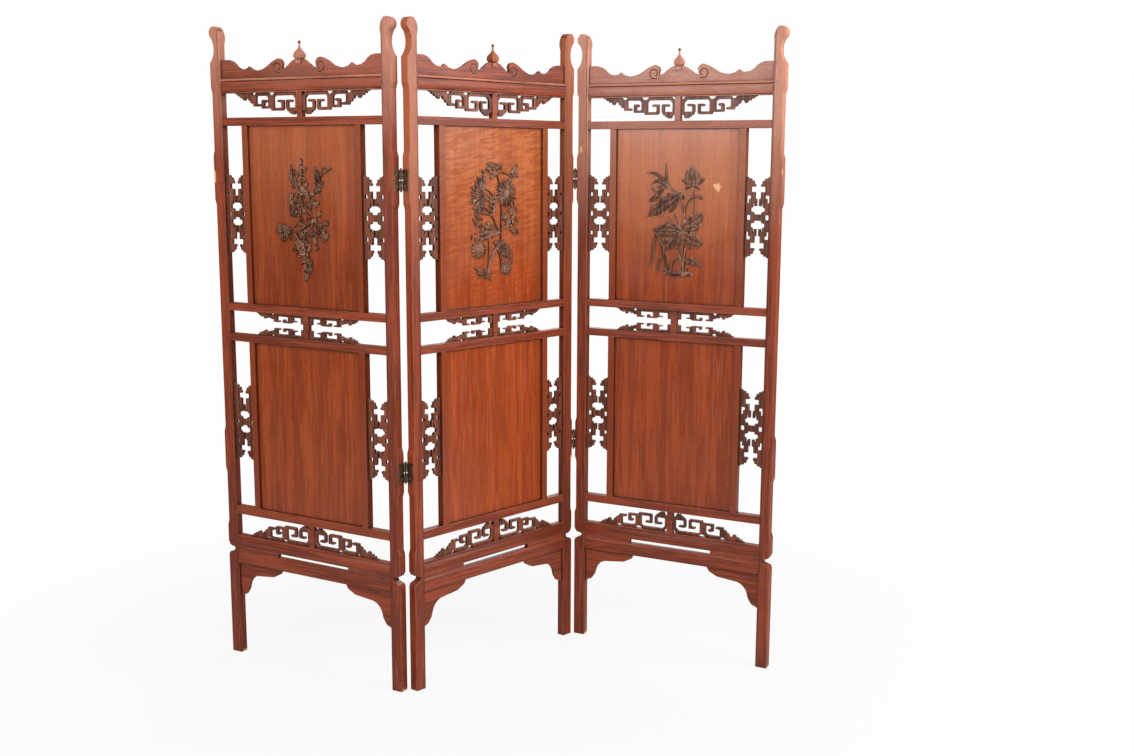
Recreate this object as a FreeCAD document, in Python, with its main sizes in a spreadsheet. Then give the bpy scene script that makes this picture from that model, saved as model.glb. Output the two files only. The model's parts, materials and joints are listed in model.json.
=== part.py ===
import FreeCAD, Part
import math
import os

# Three-leaf folding screen: pierced fretwork, carved sprays, two pairs of hinges.
# Each leaf is drawn in its own frame: X across, Y from its front face to its back, Z up.

os.makedirs("parts", exist_ok=True)
doc = FreeCAD.newDocument("FoldingScreen")

# Driving sizes in mm and degrees
sizes = {
    "leafWidth": 622,
    "headHeight": 141,
    "stileWidth": 34.5,
    "stileDepth": 26,
    "stileChamfer": 3,
    "edgeRecess": 4.5,
    "recessRamp": 15,
    "shoulderDrop": 22,
    "upperLugHeight": 120,
    "lowerLugHeight": 106,
    "footShoulderRise": 25.5,
    "notchDepth": 24.5,
    "notchReach": 22,
    "railDepth": 22,
    "railHeight": 22,
    "lowerRailHeight": 24,
    "topRailHeight": 39,
    "topBayHeight": 66,
    "upperPanelHeight": 492,
    "middleBayHeight": 65,
    "lowerPanelHeight": 485,
    "bottomBayHeight": 63.5,
    "bottomRailHeight": 36.5,
    "mouldingDepth": 24,
    "mouldingFillet": 4,
    "crownFillet": 8,
    "seatFillet": 1,
    "mouldingBulge": 3,
    "waistHeight": 12,
    "waistDepth": 16,
    "slotLength": 256,
    "apronHeight": 38,
    "apronDepth": 22,
    "apronBevel": 4,
    "apronBevelDrop": 6,
    "apronEdge": 2,
    "legClearance": 276,
    "bracketWidth": 160,
    "bracketHeight": 102,
    "bracketDepth": 10,
    "crestHeight": 51,
    "crestDepth": 10,
    "finialHeight": 50,
    "finialWidth": 25,
    "finialBlock": 17,
    "finialBlockHeight": 10,
    "finialFork": 13,
    "sideBayWidth": 71,
    "frameStileWidth": 20,
    "boardDepth": 8,
    "postWidth": 18,
    "postDepth": 16,
    "fretDepth": 9,
    "fretMargin": 43.5,
    "shortFretMargin": 94.5,
    "topFretClearance": 5,
    "bottomFretClearance": 2.5,
    "middleFretClearance": 15,
    "sideFretHeight": 222,
    "sprayWidth": 180,
    "sprayMargin": 83,
    "sprayDepth": 7,
    "stemWidth": 7,
    "hingeHeight": 54,
    "hingeGap": 3,
    "plateThickness": 2,
    "plateMargin": 0.5,
    "plateDepth": 23,
    "barrelRadius": 3.4,
    "pinRadius": 1.5,
    "pinClearance": 0.3,
    "pinTip": 3.5,
    "axisReach": 3.4,
    "axisStandoff": 3.2,
    "middleTurnAngle": 46.9,
    "leftFoldAngle": 76.2,
    "rightFoldAngle": 73.7,
}
sheet = doc.addObject("Spreadsheet::Sheet", "Sizes")
for row, (alias, value) in enumerate(sizes.items(), start=1):
    sheet.set("A%d" % row, alias)
    sheet.set("B%d" % row, str(value))
    sheet.setAlias("B%d" % row, alias)
doc.recompute()


def size(alias):
    return float(getattr(sheet, alias))


# Levels and half widths that several pieces share
leafHalf = size("leafWidth") / 2
opening = leafHalf - size("stileWidth")
frameHalf = opening - size("sideBayWidth")
apronTop = size("legClearance") + size("apronHeight")
waistTop = apronTop + size("waistHeight")
bottomRailTop = waistTop + size("bottomRailHeight")
lowerRailFoot = bottomRailTop + size("bottomBayHeight")
lowerRailTop = lowerRailFoot + size("lowerRailHeight")
middleFoot = lowerRailTop + size("lowerPanelHeight")
middleBayFoot = middleFoot + size("railHeight")
middleBayTop = middleBayFoot + size("middleBayHeight")
middleTop = middleBayTop + size("railHeight")
upperRailFoot = middleTop + size("upperPanelHeight")
upperRailTop = upperRailFoot + size("railHeight")
topRailFoot = upperRailTop + size("topBayHeight")
topRailTop = topRailFoot + size("topRailHeight")
stileTop = topRailTop + size("headHeight")
crestMoundShare = 0.91
crestSeatLevel = topRailTop + size("crestHeight") * crestMoundShare
leftSide = -1
rightSide = 1

# Levels beside a panel, as shares of that panel's height
hingeShares = {"upper": 0.711, "lower": 0.342}
sideFretLevelShares = {"upper": 0.508, "lower": 0.5155}
sprayLevelShare = 0.482
panelFeet = {"upper": middleTop, "lower": lowerRailTop}


def besidePanel(panel, share):
    return panelFeet[panel] + share * size(panel + "PanelHeight")


# Shape helpers
def centred(depthAlias):
    return (size("stileDepth") - size(depthAlias)) / 2


def geometryOf(outline):
    # a step is a point, or a pair of points: the middle and the end of an arc
    geometry = []
    here = outline[0]
    for step in list(outline[1:]) + [outline[0]]:
        if isinstance(step[0], tuple):
            middle, end = step
            arc = Part.Arc(FreeCAD.Vector(*here, 0), FreeCAD.Vector(*middle, 0), FreeCAD.Vector(*end, 0))
            geometry.append(arc)
        else:
            end = step
            geometry.append(Part.LineSegment(FreeCAD.Vector(*here, 0), FreeCAD.Vector(*end, 0)))
        here = end
    return geometry


def mapped(outline, change):
    steps = []
    for step in outline:
        if isinstance(step[0], tuple):
            steps.append((change(step[0]), change(step[1])))
        else:
            steps.append(change(step))
    return steps


def originPlane(body, role):
    for feature in body.Origin.OriginFeatures:
        if feature.Role == role:
            return feature
    raise RuntimeError("no plane " + role)


def addSketch(body, role, outline, offset="0 mm"):
    sketch = body.newObject("Sketcher::SketchObject", "Sketch")
    sketch.AttachmentSupport = (originPlane(body, role), [""])
    sketch.MapMode = "FlatFace"
    sketch.addGeometry(geometryOf(outline), False)
    sketch.setExpression(".AttachmentOffset.Base.z", offset)
    return sketch


def addPad(body, sketch, length, reverse=False, midplane=False):
    pad = body.newObject("PartDesign::Pad", "Pad")
    pad.Profile = sketch
    pad.setExpression("Length", length)
    pad.Reversed = reverse
    if midplane:
        pad.SideType = "Symmetric"
    body.Tip = pad
    return pad


def boardFrom(outline, depthAlias, label="Board"):
    # a flat board of this front outline, in the middle of the stile's depth
    body = doc.addObject("PartDesign::Body", label)
    inset = "-(Sizes.stileDepth - Sizes.%s) / 2" % depthAlias
    sketch = addSketch(body, "XZ_Plane", outline, inset)
    addPad(body, sketch, "Sizes." + depthAlias, reverse=True)
    return body


def mouldingFrom(section, lengthExpression, label):
    # a moulded rail of this end section, Y and Z, centred across the leaf
    body = doc.addObject("PartDesign::Body", label)
    sketch = addSketch(body, "YZ_Plane", section)
    addPad(body, sketch, lengthExpression, midplane=True)
    return body


def boxAt(label, width, depth, height, left, foot):
    # sizes and place are expressions of the sheet; the box is centred in the depth
    box = doc.addObject("Part::Box", label)
    box.setExpression("Length", width)
    box.setExpression("Width", depth)
    box.setExpression("Height", height)
    box.setExpression("Placement.Base.x", left)
    box.setExpression("Placement.Base.y", "(Sizes.stileDepth - %s) / 2" % depth)
    box.setExpression("Placement.Base.z", foot)
    return box


def group(label, pieces):
    compound = doc.addObject("Part::Compound", label)
    compound.Links = pieces
    return compound


# Expressions for the levels, in the sheet's own names
openingWidth = "(Sizes.leafWidth - 2 * Sizes.stileWidth)"
frameWidth = "(%s - 2 * Sizes.sideBayWidth)" % openingWidth
apronTopText = "(Sizes.legClearance + Sizes.apronHeight)"
waistTopText = "(%s + Sizes.waistHeight)" % apronTopText
bottomRailTopText = "(%s + Sizes.bottomRailHeight)" % waistTopText
lowerRailFootText = "(%s + Sizes.bottomBayHeight)" % bottomRailTopText
lowerRailTopText = "(%s + Sizes.lowerRailHeight)" % lowerRailFootText
middleFootText = "(%s + Sizes.lowerPanelHeight)" % lowerRailTopText
middleBayFootText = "(%s + Sizes.railHeight)" % middleFootText
middleBayTopText = "(%s + Sizes.middleBayHeight)" % middleBayFootText
middleTopText = "(%s + Sizes.railHeight)" % middleBayTopText
upperRailFootText = "(%s + Sizes.upperPanelHeight)" % middleTopText
upperRailTopText = "(%s + Sizes.railHeight)" % upperRailFootText


# Stiles: shaped outer edge with head, bay, hinge lugs, notch at the waist and leg
# the notch, in shares of its depth inwards and of its reach up and down the stile
notchShares = [
    (0.0, -1.0),
    (0.12, -0.64),
    (0.45, -0.5),
    (0.86, -0.34),
    (1.0, 0.0),
    (0.94, 0.18),
    (0.61, 0.23),
    (0.22, 0.4),
    (0.0, 0.91),
]
# the head and the bay below it, in shares of the stile's width and of the head's height
bayDepthShare = 0.45
bayFootShare = 0.305
bayMiddleShare = 0.582
bayHeadShare = 0.773
headCornerShare = 0.32
headFlatShare = 0.64
headRoundHeightShare = 0.27
headRoundShare = (0.9, 0.3)


def lug(panel):
    half = size(panel + "LugHeight") / 2
    ramp = size("recessRamp")
    recess = size("edgeRecess")
    level = besidePanel(panel, hingeShares[panel])
    return [
        (recess, level - half - ramp), (0, level - half),
        (0, level + half), (recess, level + half + ramp),
    ]


def headLevel(share):
    return topRailTop + share * size("headHeight")


def stileOutline():
    # X is measured inwards from the outer edge
    width = size("stileWidth")
    recess = size("edgeRecess")
    ramp = size("recessRamp")
    bay = width * bayDepthShare
    bayHead = headLevel(bayHeadShare)
    headDrop = (stileTop - bayHead) / 2
    headRound = size("headHeight") * headRoundHeightShare
    shoulderFoot = topRailTop - size("shoulderDrop")
    footShoulder = bottomRailTop + size("footShoulderRise")
    notchLevel = (apronTop + waistTop) / 2
    inwards, down = headRoundShare
    notch = mapped(notchShares, lambda point: (
        point[0] * size("notchDepth"), notchLevel + point[1] * size("notchReach")))
    return [
        (0, 0),
        *notch,
        (0, footShoulder),
        (recess, footShoulder + ramp),
        *lug("lower"),
        *lug("upper"),
        (recess, shoulderFoot - ramp),
        (0, shoulderFoot),
        (0, headLevel(bayFootShare)),
        ((bay, headLevel(bayMiddleShare)), (bay / 2, bayHead)),
        ((0, bayHead + headDrop), (width * headCornerShare, stileTop)),
        (width * headFlatShare, stileTop),
        ((width * inwards, stileTop - headRound * down), (width, stileTop - headRound)),
        (width, 0),
    ]


def stile(label, side):
    outline = mapped(stileOutline(), lambda point: (side * (leafHalf - point[0]), point[1]))
    body = doc.addObject("PartDesign::Body", label)
    sketch = addSketch(body, "XZ_Plane", outline)
    pad = addPad(body, sketch, "Sizes.stileDepth", reverse=True)
    doc.recompute()
    inner = []
    for number, edge in enumerate(pad.Shape.Edges, start=1):
        middle = edge.CenterOfMass
        tall = edge.Length > stileTop / 2
        if tall and abs(abs(middle.x) - opening) < size("stileChamfer"):
            inner.append("Edge%d" % number)
    chamfer = body.newObject("PartDesign::Chamfer", "Chamfer")
    chamfer.Base = (pad, inner)
    chamfer.setExpression("Size", "Sizes.stileChamfer")
    body.Tip = chamfer
    return body


# Crest board: outline in shares of the half opening and of the crest's height
crestShares = [
    (0.905, 1.0),
    (0.860, 0.93),
    (0.820, 0.79),
    (0.795, 0.64),
    (0.750, 0.51),
    (0.702, 0.476),
    (0.668, 0.51),
    (0.640, 0.624),
    (0.600, 0.47),
    (0.542, 0.392),
    ((0.452, 0.475), (0.376, 0.696)),
    (0.330, 0.84),
    (0.278, 0.951),
    ((0.222, 0.88), (0.203, 0.680)),
    (0.218, 0.390),
    (0.168, 0.50),
    (0.084, 0.82),
    (0.040, crestMoundShare),
]


def crestBoard(label):
    height = size("crestHeight")

    def placed(point, side):
        return (side * point[0] * opening, topRailTop + point[1] * height)

    right = mapped(crestShares, lambda point: placed(point, rightSide))
    turned = [(opening, topRailTop), (opening, topRailTop + height)] + right
    return boardFrom(turned + leftHalf(turned), "crestDepth", label)


def leftHalf(right):
    # the mirror image of an open outline, walked back from its end to its start
    points = []
    for index in range(len(right) - 1, -1, -1):
        step = right[index]
        end = step[1] if isinstance(step[0], tuple) else step
        after = right[index + 1] if index + 1 < len(right) else None
        mirrored = (-end[0], end[1])
        if after is not None and isinstance(after[0], tuple):
            points.append(((-after[0][0], after[0][1]), mirrored))
        else:
            points.append(mirrored)
    return points


# Finial: a four-sided ogee bulb on a forked block, with a neck and a ball tip
finialShares = [
    (0.5, 0.0),
    (0.92, 0.1),
    (1.0, 0.24),
    (0.84, 0.38),
    (0.48, 0.5),
    (0.2, 0.64),
    (0.12, 0.82),
    (0.21, 0.88),
    (0.16, 0.95),
]


def finialProfile():
    foot = crestSeatLevel - size("finialFork")
    blockTop = foot + size("finialBlockHeight")
    half = size("finialWidth") / 2
    rise = size("finialHeight")
    right = [(size("finialBlock") / 2, foot), (size("finialBlock") / 2, blockTop)]
    right += [(half * across, blockTop + rise * up) for across, up in finialShares]
    return right + [(0, blockTop + rise)] + [(-across, up) for across, up in reversed(right)]


def finial(label):
    profile = finialProfile()
    middle = size("stileDepth") / 2
    front = doc.addObject("PartDesign::Body", label + "Front")
    frontSketch = addSketch(front, "XZ_Plane", profile, "-Sizes.stileDepth / 2")
    addPad(front, frontSketch, "Sizes.finialWidth", midplane=True)
    side = doc.addObject("PartDesign::Body", label + "Side")
    sideSketch = addSketch(side, "YZ_Plane", [(across + middle, up) for across, up in profile])
    addPad(side, sideSketch, "Sizes.finialWidth", midplane=True)
    bulb = doc.addObject("Part::MultiCommon", label + "Bulb")
    bulb.Shapes = [front, side]
    slot = boxAt(
        label + "Slot", "Sizes.finialWidth", "Sizes.crestDepth", "Sizes.finialFork",
        "-Sizes.finialWidth / 2", "%f" % (crestSeatLevel - size("finialFork")))
    forked = doc.addObject("Part::Cut", label)
    forked.Base = bulb
    forked.Tool = slot
    return forked


# Moulded rails: a half-round face between fillets, the same on the front and the back
def mouldedSection(foot, height, lowFillet, highFillet):
    outer = centred("mouldingDepth")
    inner = outer + size("mouldingBulge")
    middle = foot + (height + lowFillet - highFillet) / 2
    front = [
        (inner, foot),
        (inner, foot + lowFillet),
        ((outer, middle), (inner, foot + height - highFillet)),
        (inner, foot + height),
    ]
    depth = size("stileDepth")
    back = [
        (depth - inner, foot + height),
        (depth - inner, foot + height - highFillet),
        ((depth - outer, middle), (depth - inner, foot + lowFillet)),
        (depth - inner, foot),
    ]
    return front + back


def topRail(label):
    fillet = size("mouldingFillet")
    section = mouldedSection(topRailFoot, size("topRailHeight"), fillet, size("crownFillet"))
    return mouldingFrom(section, openingWidth, label)


def bottomRail(label):
    height = size("bottomRailHeight")
    section = mouldedSection(waistTop, height, size("seatFillet"), size("crownFillet"))
    return mouldingFrom(section, openingWidth, label)


def apronRail(label):
    near = centred("apronDepth")
    far = size("stileDepth") - near
    bevel = size("apronBevel")
    drop = size("apronBevelDrop")
    edge = size("apronEdge")
    foot = size("legClearance")
    section = [
        (near + edge, foot), (near, foot + edge), (near, apronTop - drop),
        (near + bevel, apronTop), (far - bevel, apronTop), (far, apronTop - drop),
        (far, foot + edge), (far - edge, foot),
    ]
    return mouldingFrom(section, openingWidth, label)


def baseFrame(label):
    blockWidth = "(%s - Sizes.slotLength) / 2" % openingWidth
    left = boxAt(label + "Left", blockWidth, "Sizes.waistDepth", "Sizes.waistHeight",
                 "-%s / 2" % openingWidth, apronTopText)
    right = boxAt(label + "Right", blockWidth, "Sizes.waistDepth", "Sizes.waistHeight",
                  "Sizes.slotLength / 2", apronTopText)
    return group(label, [bottomRail(label + "Rail"), left, right, apronRail(label + "Apron")])


# Leg brackets: ovolo, long arm, hollow corner, short arm, in shares of width and height
bracketShares = [
    (1.0, 0.0),
    (0.95, 0.13),
    (0.794, 0.255),
    (0.41, 0.32),
    ((0.29, 0.42), (0.21, 0.65)),
    (0.185, 0.77),
    (0.12, 0.92),
    (0.0, 1.0),
    (0.0, 0.0),
]


def bracket(label, side):
    width = size("bracketWidth")
    height = size("bracketHeight")
    top = size("legClearance")
    outline = mapped(
        bracketShares, lambda point: (side * (opening - point[0] * width), top - point[1] * height))
    return boardFrom(outline, "bracketDepth", label)


# Framed panels: a thin board between two frame stiles
def framedPanel(label, heightText, footText):
    board = boxAt(
        label + "Board", "(%s - 2 * Sizes.frameStileWidth)" % frameWidth, "Sizes.boardDepth",
        heightText, "-(%s / 2 - Sizes.frameStileWidth)" % frameWidth, footText)
    left = boxAt(label + "Left", "Sizes.frameStileWidth", "Sizes.railDepth",
                 heightText, "-%s / 2" % frameWidth, footText)
    right = boxAt(label + "Right", "Sizes.frameStileWidth", "Sizes.railDepth", heightText,
                  "%s / 2 - Sizes.frameStileWidth" % frameWidth, footText)
    return group(label, [board, left, right])


# Frets, drawn on a squared grid: steps outwards from the post and away from the rail
longFretGrid = (224, 61)
longFretSteps = [
    (0, 12), (12, 0), (80, 0), (92, 8), (104, 0), (146, 0), (155, 7), (164, 0), (224, 0),
    (196, 18), (187, 21), (180, 11), (167, 26), (157, 29), (157, 37), (133, 37), (133, 30),
    (146, 30), (146, 9), (103, 9), (103, 36), (118, 36), (118, 26), (110, 26), (110, 19),
    (127, 19), (127, 43), (93, 43), (93, 49), (49, 49), (49, 20), (71, 20), (71, 26), (57, 26),
    (57, 41), (84, 41), (84, 9), (16, 9), (8, 17), (8, 41), (33, 41), (33, 26), (17, 26),
    (17, 20), (41, 20), (41, 43), (28, 57), (17, 61), (8, 50), (0, 50),
]
shortFretGrid = (173, 25)
shortFretSteps = [
    (0, 0), (107, 0), (114, 7), (121, 0), (173, 0), (157, 13), (147, 10), (142, 18), (134, 9),
    (108, 17), (108, 24), (86, 24), (86, 19), (97, 19), (97, 8), (57, 8), (57, 20), (68, 20),
    (68, 15), (76, 15), (76, 25), (44, 25), (39, 21), (27, 21), (27, 17), (39, 17), (39, 8),
    (11, 8), (11, 25), (0, 25),
]
# the side fret's quarter: steps out from its middle line and up from its cross bar
sideFretGrid = (35.5, 111)
sideFretSteps = [
    (35.5, 51), (21, 51), (21, 61), (35.5, 61), (35.5, 111), (20, 107), (11, 97), (8, 84),
    (20, 84), (20, 70), (8, 70), (8, 52), (3, 51), (3, 31), (13, 31), (20, 26), (20, 17), (10, 9),
]


def gridShares(steps, grid):
    return [(across / grid[0], along / grid[1]) for across, along in steps]


longFretShares = gridShares(longFretSteps, longFretGrid)
shortFretShares = gridShares(shortFretSteps, shortFretGrid)
sideFretShares = gridShares(sideFretSteps, sideFretGrid)


def fret(shares, margin, drop, side, level, upwards, label):
    postHalf = size("postWidth") / 2
    length = opening - postHalf - margin

    def placed(point):
        return (side * (postHalf + point[0] * length), level + upwards * point[1] * drop)

    return boardFrom([placed(point) for point in shares], "fretDepth", label)


def centrePost(label, heightText, footText):
    return boxAt(label, "Sizes.postWidth", "Sizes.postDepth", heightText,
                 "-Sizes.postWidth / 2", footText)


def longFrets(label, drop, level, upwards):
    return [
        fret(longFretShares, size("fretMargin"), drop, side, level, upwards, label)
        for side in (leftSide, rightSide)
    ]


def topLattice(label):
    rail = boxAt(label + "Rail", openingWidth, "Sizes.railDepth", "Sizes.railHeight",
                 "-%s / 2" % openingWidth, upperRailFootText)
    post = centrePost(label + "Post", "Sizes.topBayHeight", upperRailTopText)
    drop = size("topBayHeight") - size("topFretClearance")
    return group(label, [rail, post] + longFrets(label + "Fret", drop, topRailFoot, -1))


def bottomLattice(label):
    rail = boxAt(label + "Rail", openingWidth, "Sizes.railDepth", "Sizes.lowerRailHeight",
                 "-%s / 2" % openingWidth, lowerRailFootText)
    post = centrePost(label + "Post", "Sizes.bottomBayHeight", bottomRailTopText)
    drop = size("bottomBayHeight") - size("bottomFretClearance")
    return group(label, [rail, post] + longFrets(label + "Fret", drop, bottomRailTop, 1))


def middleLattice(label):
    pieces = []
    for foot in (middleFootText, middleBayTopText):
        pieces.append(boxAt(label + "Rail", openingWidth, "Sizes.railDepth", "Sizes.railHeight",
                            "-%s / 2" % openingWidth, foot))
    pieces.append(centrePost(label + "Post", "Sizes.middleBayHeight", middleBayFootText))
    drop = (size("middleBayHeight") - size("middleFretClearance")) / 2
    for level, upwards in ((middleBayFoot, 1), (middleBayTop, -1)):
        for side in (leftSide, rightSide):
            pieces.append(fret(shortFretShares, size("shortFretMargin"), drop, side,
                               level, upwards, label + "Fret"))
    return group(label, pieces)


def sideFret(label, side, panel):
    half = (opening - frameHalf) / 2
    middle = side * (frameHalf + half)
    rise = size("sideFretHeight") / 2
    level = besidePanel(panel, sideFretLevelShares[panel])
    quarter = [(across * half, up * rise) for across, up in sideFretShares]
    turned = list(reversed(quarter))
    outline = [(middle + across, level + up) for across, up in quarter]
    outline += [(middle - across, level + up) for across, up in turned]
    outline += [(middle - across, level - up) for across, up in quarter]
    outline += [(middle + across, level - up) for across, up in turned]
    return boardFrom(outline, "fretDepth", label)


# Carved sprays: stems, leaves and flower heads as shares of the spray's width and height
plumShares = {
    "stems": [
        [(0.04, -0.5), (0.05, -0.3), (-0.07, 0.02), (-0.01, 0.5)],
        [(-0.46, -0.05), (-0.02, -0.08), (0.45, -0.02)],
        [(-0.03, 0.16), (0.22, 0.24), (0.5, 0.43)],
        [(-0.04, 0.2), (-0.22, 0.36)],
    ],
    "heads": [
        (-0.21, 0.34, 0.09), (0.08, 0.27, 0.09), (0.29, 0.34, 0.09), (-0.18, 0.14, 0.1),
        (-0.36, -0.08, 0.13), (0.3, -0.12, 0.12), (-0.1, -0.22, 0.11), (0.05, -0.35, 0.09),
    ],
    "leaves": [],
}
chrysanthemumShares = {
    "stems": [
        [(0.14, 0.18), (0.13, -0.14), (-0.12, -0.48)],
        [(-0.34, 0.1), (0.13, -0.14), (0.24, -0.4)],
        [(-0.02, 0.42), (-0.1, -0.42)],
    ],
    "heads": [
        (0.25, 0.24, 0.21), (-0.3, 0.28, 0.22), (-0.34, -0.24, 0.17), (0.24, -0.41, 0.14),
        (-0.06, 0.44, 0.1),
    ],
    "leaves": [
        ((-0.05, -0.1), (-0.34, -0.12), 0.16), ((0.13, -0.1), (0.46, 0.02), 0.16),
        ((-0.1, -0.46), (-0.45, -0.36), 0.1),
    ],
}
lotusShares = {
    "stems": [
        [(0.1, -0.5), (0.04, -0.1), (0.0, 0.2)],
        [(0.16, -0.48), (0.18, -0.05), (0.28, 0.3)],
        [(-0.44, 0.23), (-0.22, 0.14)],
    ],
    "heads": [(0.27, 0.37, 0.16)],
    "leaves": [
        ((0.1, 0.26), (-0.5, 0.04), 0.26), ((0.08, -0.1), (0.48, 0.06), 0.24),
        ((0.06, -0.08), (-0.42, -0.09), 0.2), ((0.04, -0.1), (0.48, -0.2), 0.24),
        ((0.1, -0.46), (0.48, -0.4), 0.13), ((-0.1, 0.2), (-0.2, 0.5), 0.1),
        ((0.02, -0.4), (-0.44, -0.1), 0.14),
    ],
}
headSides = 6
leafShares = ((0.25, 0.42), (0.55, 0.5), (0.82, 0.3))


def prismOf(points, front, depth):
    vectors = [FreeCAD.Vector(across, front, up) for across, up in points]
    face = Part.Face(Part.makePolygon(vectors + [vectors[0]]))
    return face.extrude(FreeCAD.Vector(0, depth, 0))


def stemPoints(path, width):
    # a flat ribbon along the path, its corners on the line that halves each bend
    steps = [FreeCAD.Vector(across, up, 0) for across, up in path]
    runs = [(after - before).normalize() for before, after in zip(steps, steps[1:])]
    left = []
    right = []
    for index, step in enumerate(steps):
        along = runs[max(index - 1, 0)] + runs[min(index, len(runs) - 1)]
        along.normalize()
        side = FreeCAD.Vector(-along.y, along.x, 0) * (width / 2)
        left.append((step.x + side.x, step.y + side.y))
        right.append((step.x - side.x, step.y - side.y))
    return left + list(reversed(right))


def leafPoints(base, tip, width):
    along = FreeCAD.Vector(tip[0] - base[0], tip[1] - base[1], 0)
    side = FreeCAD.Vector(-along.y, along.x, 0)
    side.normalize()
    points = [base]
    for share, swell in leafShares:
        points.append((base[0] + along.x * share + side.x * width * swell,
                       base[1] + along.y * share + side.y * width * swell))
    points.append(tip)
    for share, swell in reversed(leafShares):
        points.append((base[0] + along.x * share - side.x * width * swell,
                       base[1] + along.y * share - side.y * width * swell))
    return points


def headPoints(centre, radius):
    return [
        (centre[0] + radius * math.cos(2 * math.pi * index / headSides),
         centre[1] + radius * math.sin(2 * math.pi * index / headSides))
        for index in range(headSides)
    ]


def spray(label, shares):
    width = size("sprayWidth")
    height = size("upperPanelHeight") - 2 * size("sprayMargin")
    level = besidePanel("upper", sprayLevelShare)
    depth = size("sprayDepth")
    front = centred("boardDepth") - depth

    def placed(point):
        return (point[0] * width, level + point[1] * height)

    prisms = []
    for stem in shares["stems"]:
        points = stemPoints([placed(point) for point in stem], size("stemWidth"))
        prisms.append(prismOf(points, front, depth))
    for across, up, share in shares["heads"]:
        points = headPoints(placed((across, up)), share * width)
        prisms.append(prismOf(points, front, depth))
    for base, tip, share in shares["leaves"]:
        points = leafPoints(placed(base), placed(tip), share * width)
        prisms.append(prismOf(points, front, depth))
    whole = prisms[0].multiFuse(prisms[1:]).removeSplitter()
    carved = doc.addObject("Part::Feature", label)
    carved.Shape = whole
    return carved


# Hinges: every hinge has an upper and a lower half, each with a knuckle on both leaves
def hingeHalf():
    return (size("hingeHeight") - size("hingeGap")) / 2


def axisDepth(rear):
    standoff = size("axisStandoff")
    return size("stileDepth") + standoff if rear else -standoff


def plateOutline(side, rear):
    margin = size("plateMargin")
    near = leafHalf
    far = leafHalf + size("plateThickness")
    start = margin
    end = margin + size("plateDepth")
    if rear:
        start = size("stileDepth") - margin
        end = start - size("plateDepth")
    return [(side * near, start), (side * far, start), (side * far, end), (side * near, end)]


# the barrel's outside is drawn in flats, at these turns from the way out of the plate
knuckleAngles = (-95, -50, 0, 50, 95)


def knuckleOutline(side, rear):
    toBack = -1 if rear else 1
    margin = size("plateMargin")
    face = size("stileDepth") if rear else 0
    plateEdge = face + toBack * margin
    plateIn = plateEdge + toBack * size("plateThickness")
    near = leafHalf
    far = leafHalf + size("plateThickness")
    centre = FreeCAD.Vector(leafHalf + size("axisReach"), axisDepth(rear), 0)
    along = centre - FreeCAD.Vector((near + far) / 2, plateEdge, 0)
    along.normalize()
    across = FreeCAD.Vector(-along.y, along.x, 0) * toBack
    radius = size("barrelRadius")
    outline = [(near, plateIn), (near, plateEdge)]
    for turn in knuckleAngles:
        reach = along * math.cos(math.radians(turn)) + across * math.sin(math.radians(turn))
        outline.append((centre.x + reach.x * radius, centre.y + reach.y * radius))
    outline.append((far, plateIn))
    return mapped(outline, lambda point: (side * point[0], point[1]))


def hingePlate(label, side, rear, foot, knuckleFoot, knuckleHeight):
    body = doc.addObject("PartDesign::Body", label)
    plateSketch = addSketch(body, "XY_Plane", plateOutline(side, rear), "%f mm" % foot)
    addPad(body, plateSketch, "(Sizes.hingeHeight - Sizes.hingeGap) / 2")
    knuckle = addSketch(body, "XY_Plane", knuckleOutline(side, rear), "%f mm" % knuckleFoot)
    centre = FreeCAD.Vector(side * (leafHalf + size("axisReach")), axisDepth(rear), 0)
    bore = size("pinRadius") + size("pinClearance")
    knuckle.addGeometry(Part.Circle(centre, FreeCAD.Vector(0, 0, 1), bore), False)
    pad = addPad(body, knuckle, "%f mm" % knuckleHeight)
    pad.Label = label + "Knuckle"
    return body


def hingeMiddles():
    return [besidePanel(panel, hingeShares[panel]) for panel in ("lower", "upper")]


def hingeLevels():
    # the foot of every half hinge, and whether it is the upper half
    levels = []
    for middle in hingeMiddles():
        levels.append(middle - size("hingeHeight") / 2)
        levels.append(middle + size("hingeGap") / 2)
    return levels


def plates(label, side, rear, topKnuckle):
    # of the two knuckles in a half hinge, one leaf carries the upper and one the lower
    pieces = []
    clearance = size("pinClearance")
    knuckleHeight = (hingeHalf() - clearance) / 2
    for foot in hingeLevels():
        knuckleFoot = foot + knuckleHeight + clearance if topKnuckle else foot
        pieces.append(hingePlate(label + "Plate", side, rear, foot, knuckleFoot, knuckleHeight))
    return pieces


def hingePins(label):
    # each pin drops through both halves of its hinge and stands out a little at the ends
    pieces = []
    for side, rear in ((leftSide, True), (rightSide, False)):
        for middle in hingeMiddles():
            pin = doc.addObject("Part::Cylinder", label + "Pin")
            pin.setExpression("Radius", "Sizes.pinRadius")
            pin.setExpression("Height", "Sizes.hingeHeight + 2 * Sizes.pinTip")
            foot = middle - size("hingeHeight") / 2 - size("pinTip")
            reach = side * (leafHalf + size("axisReach"))
            pin.Placement.Base = FreeCAD.Vector(reach, axisDepth(rear), foot)
            pieces.append(pin)
    return group(label, pieces)


# Where the leaves stand: folded about the hinge axes, centred over the origin
def planDirection(angle):
    return FreeCAD.Vector(math.cos(math.radians(angle)), math.sin(math.radians(angle)), 0)


def planPoint(origin, angle, across, depth):
    return origin + planDirection(angle) * across + planDirection(angle + 90) * depth


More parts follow.
